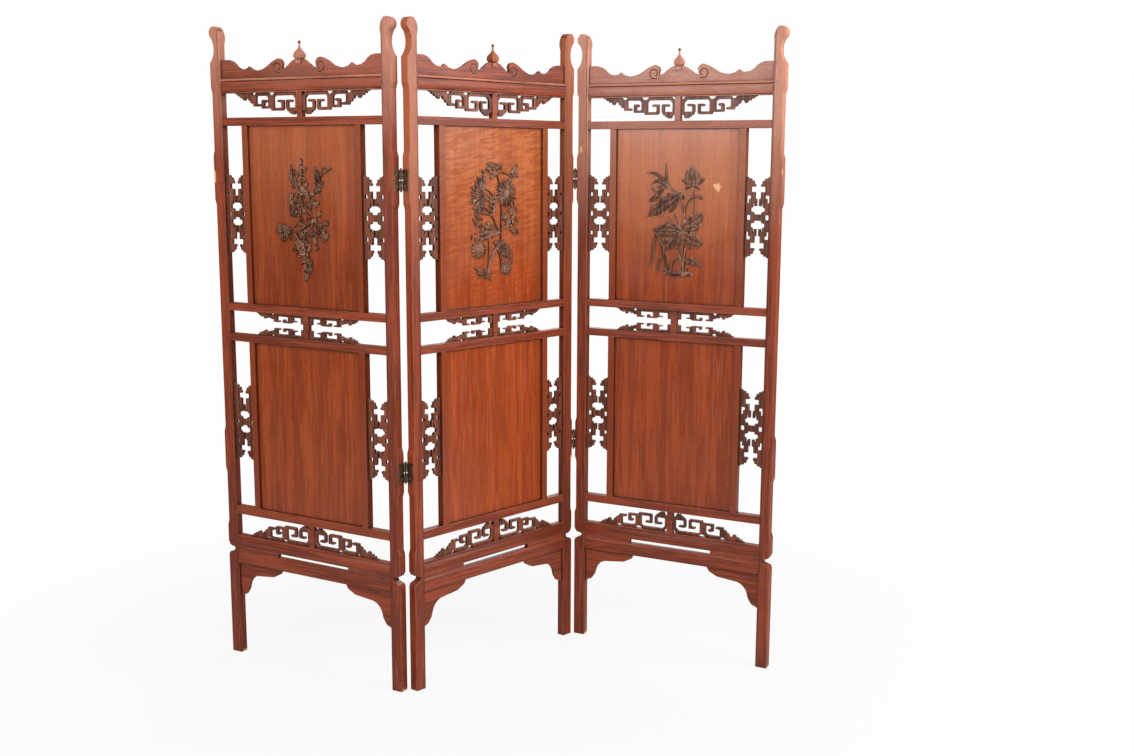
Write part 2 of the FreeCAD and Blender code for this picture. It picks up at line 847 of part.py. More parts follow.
def leafFrames():
    reach = leafHalf + size("axisReach")
    middleTurn = size("middleTurnAngle")
    turns = {
        "left": middleTurn - size("leftFoldAngle"),
        "middle": middleTurn,
        "right": middleTurn - size("rightFoldAngle"),
    }
    origins = {"middle": FreeCAD.Vector(0, 0, 0)}
    rearAxis = planPoint(origins["middle"], middleTurn, -reach, axisDepth(True))
    frontAxis = planPoint(origins["middle"], middleTurn, reach, axisDepth(False))
    toRear = planPoint(FreeCAD.Vector(0, 0, 0), turns["left"], reach, axisDepth(True))
    toFront = planPoint(FreeCAD.Vector(0, 0, 0), turns["right"], -reach, axisDepth(False))
    origins["left"] = rearAxis - toRear
    origins["right"] = frontAxis - toFront
    corners = [
        planPoint(origins[name], turns[name], side * leafHalf, depth)
        for name in turns for side in (leftSide, rightSide) for depth in (0, size("stileDepth"))
    ]
    xs = [corner.x for corner in corners]
    ys = [corner.y for corner in corners]
    centre = FreeCAD.Vector((min(xs) + max(xs)) / 2, (min(ys) + max(ys)) / 2, 0)
    frames = {}
    for name in turns:
        turn = FreeCAD.Rotation(FreeCAD.Vector(0, 0, 1), turns[name])
        frames[name] = FreeCAD.Placement(origins[name] - centre, turn)
    print("axes", rearAxis - centre, frontAxis - centre)
    return frames


# The three leaves and their hinges
frames = leafFrames()
sprays = {"left": plumShares, "middle": chrysanthemumShares, "right": lotusShares}
nodes = []


def keep(piece, label, frame):
    piece.Label = label
    piece.Placement = frame
    nodes.append(piece)


for name, frame in frames.items():
    keep(stile(name + "LeftStile", leftSide), name + "_left_stile", frame)
    keep(stile(name + "RightStile", rightSide), name + "_right_stile", frame)
    keep(crestBoard(name + "Crest"), name + "_crest_board", frame)
    keep(finial(name + "Finial"), name + "_finial", frame)
    keep(topRail(name + "TopRail"), name + "_top_rail", frame)
    keep(topLattice(name + "TopLattice"), name + "_top_lattice", frame)
    keep(middleLattice(name + "MiddleLattice"), name + "_middle_lattice", frame)
    keep(bottomLattice(name + "BottomLattice"), name + "_bottom_lattice", frame)
    keep(baseFrame(name + "Base"), name + "_base_frame", frame)
    keep(bracket(name + "LeftBracket", leftSide), name + "_left_bracket", frame)
    keep(bracket(name + "RightBracket", rightSide), name + "_right_bracket", frame)
    keep(framedPanel(name + "Upper", "Sizes.upperPanelHeight", middleTopText),
         name + "_upper_panel", frame)
    keep(framedPanel(name + "Lower", "Sizes.lowerPanelHeight", lowerRailTopText),
         name + "_lower_panel", frame)
    keep(spray(name + "Spray", sprays[name]), name + "_carved_spray", frame)
    for level in ("upper", "lower"):
        for place, side in (("left", leftSide), ("right", rightSide)):
            label = "%s_%s_%s_side_fret" % (name, level, place)
            keep(sideFret(name + "SideFret", side, level), label, frame)

keep(group("LeftHinge", plates("LeftHinge", rightSide, True, False)),
     "left_hinge_plates", frames["left"])
middlePlates = plates("MiddleRear", leftSide, True, True)
middlePlates += plates("MiddleFront", rightSide, False, True)
keep(group("MiddleHinge", middlePlates), "middle_hinge_plates", frames["middle"])
keep(group("RightHinge", plates("RightHinge", leftSide, False, False)),
     "right_hinge_plates", frames["right"])
keep(hingePins("HingePins"), "hinge_pins", frames["middle"])

# Check and write
doc.recompute()
for item in doc.Objects:
    if "Invalid" in item.State or "Error" in item.State:
        raise RuntimeError("failed object: %s %s" % (item.Label, item.State))
for node in nodes:
    if node.Shape.isNull() or not node.Shape.isValid():
        raise RuntimeError("bad shape: " + node.Label)
    node.Shape.exportStep("parts/%s.step" % node.Label)
facets = sum(len(node.Shape.tessellate(0.5)[1]) for node in nodes)
print(len(nodes), "nodes,", facets, "facets")
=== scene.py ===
import json
import math
import random

import bmesh
import bpy
from mathutils import Matrix, Vector


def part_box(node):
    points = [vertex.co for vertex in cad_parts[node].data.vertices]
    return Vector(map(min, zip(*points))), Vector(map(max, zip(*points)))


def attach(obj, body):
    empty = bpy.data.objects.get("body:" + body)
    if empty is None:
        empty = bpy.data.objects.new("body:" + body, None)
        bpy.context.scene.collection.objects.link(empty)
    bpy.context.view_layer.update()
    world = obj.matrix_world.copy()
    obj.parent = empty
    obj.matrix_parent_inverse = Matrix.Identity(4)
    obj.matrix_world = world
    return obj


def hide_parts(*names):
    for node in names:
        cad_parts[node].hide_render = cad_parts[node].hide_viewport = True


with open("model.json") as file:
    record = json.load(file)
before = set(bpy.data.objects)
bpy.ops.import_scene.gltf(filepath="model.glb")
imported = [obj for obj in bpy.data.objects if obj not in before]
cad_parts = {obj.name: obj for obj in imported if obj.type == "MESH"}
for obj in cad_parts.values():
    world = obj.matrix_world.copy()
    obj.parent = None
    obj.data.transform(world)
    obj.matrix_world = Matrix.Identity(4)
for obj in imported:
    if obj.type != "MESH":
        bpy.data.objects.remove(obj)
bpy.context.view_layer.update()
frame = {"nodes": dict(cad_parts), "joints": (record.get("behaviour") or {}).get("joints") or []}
nodes = frame["nodes"]

# Each leaf is worked in its own frame: X across, Y from front to back with 0 in the middle of its depth,
# Z up. Shapes are drawn in millimetres.
leafTurns = {"left": -29.3, "middle": 46.9, "right": -26.8}
leafHalfDepth = 0.013
mm = 0.001


def leafPlace(leaf):
    low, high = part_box(leaf + "_crest_board")
    centre = (low + high) / 2
    turn = Matrix.Rotation(math.radians(leafTurns[leaf]), 4, "Z")
    return Matrix.Translation((centre.x, centre.y, 0)) @ turn


def heightsOf(node):
    # the foot and the top of a CAD piece
    low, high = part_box(node)
    return low.z / mm, high.z / mm


def addObject(name, data):
    made = bpy.data.objects.new(name, data)
    bpy.context.scene.collection.objects.link(made)
    return made


def meshObject(name, bm):
    mesh = bpy.data.meshes.new(name)
    bm.to_mesh(mesh)
    bm.free()
    return addObject(name, mesh)


def toMetres(bm):
    bmesh.ops.scale(bm, verts=bm.verts, vec=(mm, mm, mm))


def addPiece(name, bm, leaf, material, smooth=True, placed=False):
    # a shape that isn't placed yet is in millimetres in the leaf's frame
    if not placed:
        toMetres(bm)
    bmesh.ops.recalc_face_normals(bm, faces=bm.faces)
    piece = meshObject(name, bm)
    if not placed:
        piece.data.transform(leafPlace(leaf))
    for face in piece.data.polygons:
        face.use_smooth = smooth
    for one in material if isinstance(material, tuple) else (material,):
        piece.data.materials.append(one)
    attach(piece, leaf + "_leaf")
    return piece


def join(whole, part):
    mesh = bpy.data.meshes.new("part")
    part.to_mesh(mesh)
    part.free()
    whole.from_mesh(mesh)
    bpy.data.meshes.remove(mesh)


def curveSolid(loops, closed, **settings):
    # a solid along or inside rows of (x, y, z, radius)
    curve = bpy.data.curves.new("drawing", "CURVE")
    for key, value in settings.items():
        setattr(curve, key, value)
    for loop in loops:
        spline = curve.splines.new("POLY")
        spline.points.add(len(loop) - 1)
        for point, (x, y, z, radius) in zip(spline.points, loop):
            point.co = (x, y, z, 1)
            point.radius = radius
        spline.use_cyclic_u = closed
    holder = bpy.data.objects.new("drawing", curve)
    mesh = bpy.data.meshes.new_from_object(holder)
    bpy.data.objects.remove(holder)
    bpy.data.curves.remove(curve)
    solid = bmesh.new()
    solid.from_mesh(mesh)
    bpy.data.meshes.remove(mesh)
    return solid


def closeSeams(bm, reach):
    bmesh.ops.remove_doubles(bm, verts=bm.verts, dist=reach)
    bmesh.ops.recalc_face_normals(bm, faces=bm.faces)


def roundEdges(bm, edges, offset):
    bmesh.ops.bevel(bm, geom=edges, offset=offset, segments=edgeSegments, profile=0.5, affect="EDGES",
                    material=-1, clamp_overlap=True)


# Node helpers
def feed(tree, value, socket):
    # an output is linked to the socket, and a constant is set on it
    if isinstance(value, bpy.types.NodeSocket):
        tree.links.new(value, socket)
    else:
        socket.default_value = value


def addNode(tree, kind, inputs=None, **settings):
    node = tree.nodes.new("ShaderNode" + kind)
    for key, value in settings.items():
        setattr(node, key, value)
    for key, value in (inputs or {}).items():
        feed(tree, value, node.inputs[key])
    return node


def newGroup(name, inputs, outputs):
    # an input without a default is a vector, and the other sockets are numbers
    group = bpy.data.node_groups.new(name, "ShaderNodeTree")
    for label, default in inputs.items():
        kind = "NodeSocketVector" if default is None else "NodeSocketFloat"
        socket = group.interface.new_socket(label, in_out="INPUT", socket_type=kind)
        if default is not None:
            socket.default_value = default
    for label in outputs:
        group.interface.new_socket(label, in_out="OUTPUT", socket_type="NodeSocketFloat")
    return group, group.nodes.new("NodeGroupInput").outputs, group.nodes.new("NodeGroupOutput").inputs


def addGroup(tree, group, **inputs):
    return addNode(tree, "Group", inputs, node_tree=group).outputs


def vectorOf(tree, operation, first, second):
    return addNode(tree, "VectorMath", {0: first, 1: second}, operation=operation).outputs


def axesOf(tree, vector):
    return addNode(tree, "SeparateXYZ", {0: vector}).outputs


def noiseOf(tree, vector, scale, detail, roughness, distortion=0.0):
    inputs = {"Vector": vector, "Scale": scale, "Detail": detail, "Roughness": roughness,
              "Distortion": distortion}
    return addNode(tree, "TexNoise", inputs).outputs["Fac"]


def mapped(tree, value, low, high, toLow=0.0, toHigh=1.0):
    inputs = {"Value": value, "From Min": low, "From Max": high, "To Min": toLow, "To Max": toHigh}
    return addNode(tree, "MapRange", inputs, interpolation_type="SMOOTHSTEP").outputs["Result"]


def mathOf(tree, operation, *values):
    return addNode(tree, "Math", dict(enumerate(values)), operation=operation).outputs[0]


def times(tree, first, second):
    return mathOf(tree, "MULTIPLY", first, second)


def over(tree, first, second):
    return mathOf(tree, "DIVIDE", first, second)


def plus(tree, first, second):
    return mathOf(tree, "ADD", first, second)


def minus(tree, first, second):
    return mathOf(tree, "SUBTRACT", first, second)


def squareSum(tree, *values):
    total = 0.0
    for value in values:
        total = plus(tree, total, times(tree, value, value))
    return total


def lineAt(tree, value, level, halfWidth, core=0.35):
    # 1 at the level, falling to 0 at the half width
    away = mathOf(tree, "ABSOLUTE", minus(tree, value, level))
    return mapped(tree, away, halfWidth, halfWidth * core)


def mixColour(tree, factor, first, second):
    node = addNode(tree, "Mix", {"Factor": factor}, data_type="RGBA")
    colours = [socket for socket in node.inputs if socket.type == "RGBA"]
    feed(tree, first, colours[0])
    feed(tree, second, colours[1])
    return [socket for socket in node.outputs if socket.type == "RGBA"][0]


def newMaterial(name):
    material = bpy.data.materials.new(name)
    material.use_nodes = True
    return material, material.node_tree, material.node_tree.nodes["Principled BSDF"]


# Shared effects: grain along X, worn edges, dust and painted shade in corners, painted highlights with wear
# on a carving's ridges and painted shade in its hollows.
# A layer of grain is a stretch, then a noise's scale, detail, roughness and distortion.
grainLayers = [
    ((0.7, 11, 11), 3.2, 3.0, 0.5, 0.9), ((1.6, 60, 60), 5.0, 3.0, 0.6), ((6, 300, 300), 3.0, 2.0, 0.6),
    ((30, 900, 900), 2.0, 1.0, 0.5),
]
grainLook = {"broadShare": 0.45, "fineShare": 0.55, "figure": (0.36, 0.64), "pores": (0.60, 0.70),
             "fibreRise": 0.5}
wearLook = {"radius": 0.0021, "edge": (0.995, 0.86), "noise": (22.0, 4.0, 0.7), "cloud": (0.38, 0.62)}
grimeAndShadeRange = (0.92, 0.45)
ridgeLook = {"flat": 0.5, "noise": (60.0, 3.0, 0.6), "cloud": (0.28, 0.55), "sinkOnset": 0.006,
             "sink": (0.0, -0.8)}


def makeGrainGroup():
    group, given, result = newGroup("woodGrain", {"Vector": None}, ["Figure", "Fibre", "Pore", "Height"])
    broad, fine, fibre, pore = (
        noiseOf(group, vectorOf(group, "MULTIPLY", given["Vector"], stretch)[0], *noise)
        for stretch, *noise in grainLayers)
    broad, fine = times(group, broad, grainLook["broadShare"]), times(group, fine, grainLook["fineShare"])
    pores = mapped(group, pore, *grainLook["pores"])
    feed(group, mapped(group, plus(group, broad, fine), *grainLook["figure"]), result["Figure"])
    feed(group, fibre, result["Fibre"])
    feed(group, pores, result["Pore"])
    feed(group, minus(group, times(group, fibre, grainLook["fibreRise"]), pores), result["Height"])
    return group


def makeWearGroup():
    group, given, result = newGroup("edgeWear", {"Vector": None, "Patchiness": 1.0}, ["Edge"])
    bevel = addNode(group, "Bevel", {"Radius": wearLook["radius"]}, samples=4).outputs[0]
    normal = addNode(group, "NewGeometry").outputs["Normal"]
    edge = mapped(group, vectorOf(group, "DOT_PRODUCT", bevel, normal)["Value"], *wearLook["edge"])
    cloud = mapped(group, noiseOf(group, given["Vector"], *wearLook["noise"]), *wearLook["cloud"])
    feed(group, times(group, edge, times(group, cloud, given["Patchiness"])), result["Edge"])
    return group


def makeGrimeAndShadeGroup():
    group, given, result = newGroup("cornerGrime", {"Distance": 0.012}, ["Grime"])
    # ambient occlusion darkens corners and recesses, as dust and as painted shade
    shade = addNode(group, "AmbientOcclusion", {"Distance": given["Distance"]}, samples=6)
    feed(group, mapped(group, shade.outputs["AO"], *grimeAndShadeRange), result["Grime"])
    return group


def makeRidgeGroup():
    group, given, result = newGroup(
        "carvedRidges", {"Vector": None, "Onset": 0.03, "Width": 0.08}, ["Ridge", "Hollow"])
    # sharp bends are painted pale as wear and as a highlight, and hollows are painted dark as shade
    bent = minus(group, addNode(group, "NewGeometry").outputs["Pointiness"], ridgeLook["flat"])
    cloud = mapped(group, noiseOf(group, given["Vector"], *ridgeLook["noise"]), *ridgeLook["cloud"])
    sharp = over(group, minus(group, bent, given["Onset"]), given["Width"])
    feed(group, times(group, mapped(group, sharp, 0.0, 1.0), cloud), result["Ridge"])
    sunk = over(group, plus(group, bent, ridgeLook["sinkOnset"]), given["Width"])
    feed(group, mapped(group, sunk, *ridgeLook["sink"]), result["Hollow"])
    return group


ridgeGroup = makeRidgeGroup()
grainGroup = makeGrainGroup()
wearGroup = makeWearGroup()
grimeAndShadeGroup = makeGrimeAndShadeGroup()

# Materials
# each wood's grime colour darkens its pores, and is laid as dust and as painted shade in corners, sunk lines
# and hollows
frameWood = {
    "light": (0.302, 0.053, 0.0175, 1), "dark": (0.155, 0.0265, 0.0090, 1), "worn": (0.60, 0.27, 0.16, 1),
    "grime": (0.045, 0.013, 0.007, 1), "rough": 0.40, "grimeAmount": 0.8, "wearAmount": 0.8,
    "grimeReach": 0.010, "bump": 0.25, "poreShade": 0.45, "specular": 0.36, "figure": (0.30, 0.70),
}
fretWood = {
    "light": (0.235, 0.062, 0.028, 1), "dark": (0.085, 0.022, 0.011, 1), "worn": (0.46, 0.20, 0.12, 1),
    "grime": (0.030, 0.010, 0.006, 1), "rough": 0.40, "grimeAmount": 1.0, "wearAmount": 0.9,
    "grimeReach": 0.009, "bump": 0.3, "poreShade": 0.4, "specular": 0.35, "figure": (0.30, 0.70),
}
boardWood = {
    "light": (0.400, 0.074, 0.0160, 1), "dark": (0.235, 0.037, 0.0075, 1),
    "grime": (0.070, 0.016, 0.006, 1), "rough": 0.28, "grimeAmount": 0.9, "wearAmount": 0.0,
    "grimeReach": 0.030, "bump": 0.12, "poreShade": 0.38, "specular": 0.40, "figure": (0.22, 0.78),
}
# the spray's worn colour also paints its ridges as highlights
sprayWood = {
    "light": (0.180, 0.057, 0.0225, 1), "dark": (0.060, 0.017, 0.0075, 1), "worn": (0.60, 0.33, 0.20, 1),
    "grime": (0.008, 0.003, 0.0015, 1), "rough": 0.34, "grimeAmount": 1.0, "wearAmount": 1.0,
    "grimeReach": 0.006, "bump": 0.3, "poreShade": 0.25, "specular": 0.32, "figure": (0.30, 0.70),
}
# the walls of the crests' spiral grooves are painted near black as their shade
grooveShadeWood = dict(fretWood, light=(0.060, 0.018, 0.010, 1), dark=(0.030, 0.010, 0.006, 1), wearAmount=0.0)
# what all woods share
finish = {"fibre": (0.3, 0.7), "fibreShade": 0.35, "lineShade": 0.8, "lineDepth": 2.0,
          "smear": (9.0, 3.0, 0.6), "smearRange": (0.3, 0.7), "smoother": 0.06, "rougher": 0.08,
          "bumpDistance": 0.0004}
# how sharp a bend has to be for its ridge to be painted pale, as wear and as a highlight, and over what range
# it grows
sprayRidges = {"left": (0.050, 0.110), "middle": (0.032, 0.085), "right": (0.017, 0.080)}
# shares of the painted shade in the hollows and of the painted highlight with wear on the ridges
sprayShades = {"hollow": 0.95, "ridge": 0.8}
# a painted sheen lightens each wood towards its top: where it starts and ends, its share at the top, its
# light colour
frameSheenColour = (0.56, 0.25, 0.165, 1)
boardSheens = {
    "left": (1.12, 1.55, 0.55, (0.53, 0.160, 0.064, 1)),
    "middle": (1.05, 1.50, 0.90, (0.52, 0.165, 0.050, 1)),
    "right": (1.08, 1.42, 0.80, (0.55, 0.155, 0.036, 1)),
}
stileSheens = {
    "left": (1.40, 1.80, 0.80, frameSheenColour), "middle": (1.00, 1.60, 0.47, (0.56, 0.195, 0.085, 1)),
    "right": (1.18, 1.62, 0.95, frameSheenColour),
}
railSheens = {"left": (1.55, 1.80, 0.30, frameSheenColour), "middle": None, "right": (1.34, 1.72, 0.68, frameSheenColour)}


def leafCoordinates(tree, leaf):
    # a point of the leaf in its own frame, whatever way the leaf stands in the photographed pose
    inputs = {"Vector": addNode(tree, "TexCoord").outputs["Object"],
              "Location": leafPlace(leaf).translation, "Rotation": (0, 0, math.radians(leafTurns[leaf]))}
    return addNode(tree, "Mapping", inputs, vector_type="TEXTURE").outputs[0]


beadLook = {"across": 0.2812, "halfWidth": 0.0014}


def beadLine(tree, own):
    # a fine bead is cut along each stile, beside its inner edge, and painted dark as the shade in its groove
    across = mathOf(tree, "ABSOLUTE", axesOf(tree, own)["X"])
    return lineAt(tree, across, beadLook["across"], beadLook["halfWidth"])


# marks of (across, up, half width, half height) on each leaf
chipLook = {
    "left": [(-0.309, 1.397, 0.0050, 0.0190)], "middle": [(0.306, 0.560, 0.0030, 0.0090)],
    "right": [(-0.297, 1.478, 0.0045, 0.0120), (0.3110, 1.418, 0.0014, 0.0090)],
    "colour": (0.70, 0.36, 0.14, 1), "depth": 0.0065, "noise": (170.0, 3.0, 0.6), "ragged": 1.4,
    "rim": (1.8, 1.3), "foot": (0.026, 0.020), "footNoise": (45.0, 3.0, 0.6), "footRagged": 0.045,
}


def chipMarks(tree, own, marks):
    # splinters broken from the edges show the pale wood, and so do the rubbed tips of the feet
    x, y, z = axesOf(tree, own)
    ragged = times(tree, noiseOf(tree, own, *chipLook["noise"]), chipLook["ragged"])
    worn = times(tree, noiseOf(tree, own, *chipLook["footNoise"]), chipLook["footRagged"])
    chips = mapped(tree, plus(tree, z, worn), *chipLook["foot"])
    depth = over(tree, plus(tree, y, leafHalfDepth), chipLook["depth"])
    for across, up, halfWidth, halfHeight in marks:
        dx = over(tree, minus(tree, x, across), halfWidth)
        dz = over(tree, minus(tree, z, up), halfHeight)
        mark = mapped(tree, plus(tree, squareSum(tree, dx, dz, depth), ragged), *chipLook["rim"])
        chips = mathOf(tree, "MAXIMUM", chips, mark)
    return chips


quirkLook = {"levels": (1.6552, 1.6276, 0.3548), "halfWidth": 0.0010}
crownWearAndSheenLook = {"level": 1.6600, "halfWidth": 0.0026, "core": 0.6, "noise": (3.5, 2.0, 0.5),
             "range": (0.3, 0.6, 0.10, 0.50)}
stripLook = {"from": 0.1852, "to": 0.1858, "share": 0.62, "wood": (0.190, 0.038, 0.014, 1)}
# how the painted sheen towards the top is broken up, and how far it is raised
sheenLook = {"noise": (5.0, 3.0, 0.5), "cloud": 0.24, "lift": 0.12}
stripeLook = {"stretch": (52.0, 1.0, 0.25), "noise": (1.0, 3.0, 0.6), "range": (0.40, 0.62), "upper": 0.3}
rippleLook = {"turn": 9, "stretch": (1.9, 1.0, 12.0), "noise": (10.0, 2.0, 0.5, 0.5), "range": (0.40, 0.60)}


def quirkLines(tree, own):
    # the sunk lines between the fillets and the face of a moulded rail, painted dark as their shade
    lines = 0.0
    for level in quirkLook["levels"]:
        line = lineAt(tree, axesOf(tree, own)["Z"], level, quirkLook["halfWidth"])
        lines = mathOf(tree, "MAXIMUM", lines, line)
    return lines


def crownFilletWearAndSheen(tree, own):
    # the fillet under the crest is painted pale along its length, as wear and as a highlight on its upturned
    # face
    band = lineAt(tree, axesOf(tree, own)["Z"], crownWearAndSheenLook["level"], crownWearAndSheenLook["halfWidth"], crownWearAndSheenLook["core"])
    return times(tree, band, mapped(tree, noiseOf(tree, own, *crownWearAndSheenLook["noise"]), *crownWearAndSheenLook["range"]))


def panelFrame(tree, own):
    # the two upright strips that frame a board are of the darker wood
    across = mathOf(tree, "ABSOLUTE", axesOf(tree, own)["X"])
    return mapped(tree, across, stripLook["from"], stripLook["to"])


def sheenTowardsTop(tree, own, foot, top):
    # painted sheen: the wood is lightened towards its top, unevenly
    cloud = times(tree, noiseOf(tree, own, *sheenLook["noise"]), sheenLook["cloud"])
    level = plus(tree, axesOf(tree, own)["Z"], cloud)
    return mapped(tree, level, foot + sheenLook["lift"], top + sheenLook["lift"])


def stripeFigure(tree, own):
    # darker streaks down the board
    streaks = noiseOf(tree, vectorOf(tree, "MULTIPLY", own, stripeLook["stretch"])[0], *stripeLook["noise"])
    return mapped(tree, streaks, *stripeLook["range"])


def rippleFigure(tree, own):
    # fiddleback: short wavy bands across the board
    turn = (0, math.radians(rippleLook["turn"]), 0)
    turned = addNode(tree, "Mapping", {"Vector": own, "Rotation": turn}).outputs[0]
    bands = vectorOf(tree, "MULTIPLY", turned, rippleLook["stretch"])[0]
    return mapped(tree, noiseOf(tree, bands, *rippleLook["noise"]), *rippleLook["range"])


patchLook = {
    "centre": (0.1235, -0.004, 1.3710), "size": (0.0125, 0.004, 0.0125), "colour": (0.78, 0.42, 0.17, 1),
    "lean": 0.28, "notchPower": 0.67, "notch": 0.75, "noise": (190.0, 3.0, 0.65), "ragged": 2.4,
    "rim": (2.2, 1.55), "seamAt": 0.12, "seam": (0.0, 0.16, 0.45, 1.0),
}


def repairPatch(tree, own):
    # a pale heart-shaped flake mark in the veneer, with a seam down its middle
    shifted = vectorOf(tree, "SUBTRACT", own, patchLook["centre"])[0]
    x, y, z = axesOf(tree, vectorOf(tree, "DIVIDE", shifted, patchLook["size"])[0])
    leant = plus(tree, x, times(tree, z, patchLook["lean"]))
    across = mathOf(tree, "ABSOLUTE", leant)
    notch = mathOf(tree, "POWER", across, patchLook["notchPower"])
    rise = minus(tree, z, times(tree, notch, patchLook["notch"]))
    ragged = times(tree, noiseOf(tree, own, *patchLook["noise"]), patchLook["ragged"])
    mark = mapped(tree, plus(tree, squareSum(tree, across, rise, y), ragged), *patchLook["rim"])
    beside = mathOf(tree, "ABSOLUTE", plus(tree, leant, patchLook["seamAt"]))
    return times(tree, mark, mapped(tree, beside, *patchLook["seam"]))


def woodMaterial(name, look, leaf, upright, shift, lines=None, tone=1.0, ripple=0.0, stripes=0.0,
                 fade=None, patch=False):
    material, tree, shader = newMaterial(name)
    own = leafCoordinates(tree, leaf)
    turn = (0, math.pi / 2 if upright else 0, 0)
    vector = addNode(tree, "Mapping", {"Vector": own, "Location": shift, "Rotation": turn}).outputs[0]
    grain = addGroup(tree, grainGroup, Vector=vector)
    light, dark = ((*(tone * level for level in look[shade][:3]), 1) for shade in ("light", "dark"))
    # each layer is a mask, its share and a colour, laid over the one before
    layers = []
    # painted sheen: the wood is lightened towards its top
    if fade:
        foot, top, share, sheenColour = fade
        layers.append((sheenTowardsTop(tree, own, foot, top), share, sheenColour))
    if stripes > 0:
        layers.append((stripeFigure(tree, own), stripes, dark))
    if ripple > 0:
        layers.append((rippleFigure(tree, own), ripple, dark))
    if look is boardWood:
        layers.append((panelFrame(tree, own), stripLook["share"], stripLook["wood"]))
    layers.append((mapped(tree, grain["Fibre"], *finish["fibre"]), finish["fibreShade"], dark))
    layers.append((grain["Pore"], look["poreShade"], look["grime"]))
    # dust and painted shade in corners and recesses
    grime = addGroup(tree, grimeAndShadeGroup, Distance=look["grimeReach"])
    layers.append((grime["Grime"], look["grimeAmount"], look["grime"]))
    if look is sprayWood:
        onset, width = sprayRidges[leaf]
        ridges = addGroup(tree, ridgeGroup, Vector=vector, Onset=onset, Width=width)
        # painted shade in the hollows, and a painted highlight with wear on the ridges
        layers.append((ridges["Hollow"], sprayShades["hollow"], look["grime"]))
        layers.append((ridges["Ridge"], sprayShades["ridge"], look["worn"]))
    if look["wearAmount"] > 0:
        wear = addGroup(tree, wearGroup, Vector=vector, Patchiness=look["wearAmount"])
        layers.append((wear["Edge"], 1.0, look["worn"]))
    if lines is beadLine:
        layers.append((chipMarks(tree, own, chipLook[leaf]), 1.0, chipLook["colour"]))
    if lines is quirkLines:
        # a pale band painted as wear and as a highlight
        layers.append((crownFilletWearAndSheen(tree, own), 1.0, look["worn"]))
    if patch:
        layers.append((repairPatch(tree, own), 1.0, patchLook["colour"]))
    height = grain["Height"]
    # the sunk lines are painted dark as their shade, and bumped in
    if lines:
        line = lines(tree, own)
        layers.append((line, finish["lineShade"], look["grime"]))
        height = minus(tree, height, times(tree, line, finish["lineDepth"]))
    colour = mixColour(tree, mapped(tree, grain["Figure"], *look["figure"]), dark, light)
    for mask, share, paint in layers:
        colour = mixColour(tree, times(tree, mask, share), colour, paint)
    smear = noiseOf(tree, vector, *finish["smear"])
    rough = mapped(tree, smear, *finish["smearRange"], look["rough"] - finish["smoother"],
                   look["rough"] + finish["rougher"])
    bump = addNode(tree, "Bump", {"Strength": look["bump"], "Distance": finish["bumpDistance"],
                                  "Height": height})
    feed(tree, look["specular"], shader.inputs["Specular IOR Level"])
    feed(tree, colour, shader.inputs["Base Color"])
    feed(tree, rough, shader.inputs["Roughness"])
    feed(tree, bump.outputs[0], shader.inputs["Normal"])
    return material


brassLook = {
    "light": (0.23, 0.135, 0.080, 1), "dark": (0.105, 0.058, 0.036, 1), "worn": (0.60, 0.44, 0.27, 1),
    "wearAmount": 1.0, "noise": (160.0, 5.0, 0.65), "stain": (0.35, 0.65), "rough": (0.3, 0.7, 0.35, 0.6),
}


def brassMaterial(name, look):
    material, tree, shader = newMaterial(name)
    coords = addNode(tree, "TexCoord").outputs["Object"]
    stain = noiseOf(tree, coords, *look["noise"])
    colour = mixColour(tree, mapped(tree, stain, *look["stain"]), look["dark"], look["light"])
    wear = addGroup(tree, wearGroup, Vector=coords, Patchiness=look["wearAmount"])
    feed(tree, mixColour(tree, wear["Edge"], colour, look["worn"]), shader.inputs["Base Color"])
    feed(tree, 1.0, shader.inputs["Metallic"])
    feed(tree, mapped(tree, stain, *look["rough"]), shader.inputs["Roughness"])
    return material


hingeBrass = brassMaterial("hingeBrass", brassLook)
# tones of the upper and lower board, ripple across the upper one, stripes down the lower one
boardFigures = {
    "left": (0.80, 0.92, 0.0, 0.35), "middle": (1.04, 1.05, 0.6, 0.55), "right": (0.98, 0.97, 0.0, 0.25),
}
woods = {}
for index, leaf in enumerate(leafTurns):
    shift = (0.37 * index, 0.61 * index, 0.23 * index)
    upperTone, lowerTone, ripple, lowerStripes = boardFigures[leaf]
    upper = {"tone": upperTone, "ripple": ripple, "stripes": stripeLook["upper"], "fade": boardSheens[leaf],
             "patch": leaf == "right"}
    kinds = {
        "stile": ("StileWood", frameWood, True, {"lines": beadLine, "fade": stileSheens[leaf]}),
        "rail": ("RailWood", frameWood, False, {"lines": quirkLines, "fade": railSheens[leaf]}),
        "cut": ("CutWood", grooveShadeWood, False, {}),
        "fret": ("FretWood", fretWood, True, {}),
        "upper": ("UpperBoardWood", boardWood, True, upper),
        "lower": ("LowerBoardWood", boardWood, True, {"tone": lowerTone, "stripes": lowerStripes}),
        "spray": ("SprayWood", sprayWood, True, {}),
    }
    woods[leaf] = {kind: woodMaterial(leaf + label, look, leaf, upright, shift, **extras)
                   for kind, (label, look, upright, extras) in kinds.items()}
print("materials made")

# Which wood and how much rounding each CAD piece gets, in metres
nodeFinishes = {
    "stile": ("stile", 0.0022), "crest_board": ("rail", 0.0012), "finial": ("stile", 0.0012),
    "top_rail": ("rail", 0.0012), "top_lattice": ("rail", 0.0009), "middle_lattice": ("rail", 0.0009),
    "bottom_lattice": ("rail", 0.0009), "base_frame": ("rail", 0.0012), "bracket": ("rail", 0.0012),
    "upper_panel": ("upper", 0.0009), "lower_panel": ("lower", 0.0009), "side_fret": ("fret", 0.0009),
    "carved_spray": ("spray", 0.0015),
}
# points nearer than this are merged, faces this flat are joined, edges sharper than this are softened
weldReach = 0.00001
flatAngle = 0.5
softAngle = 32
edgeSegments = 2


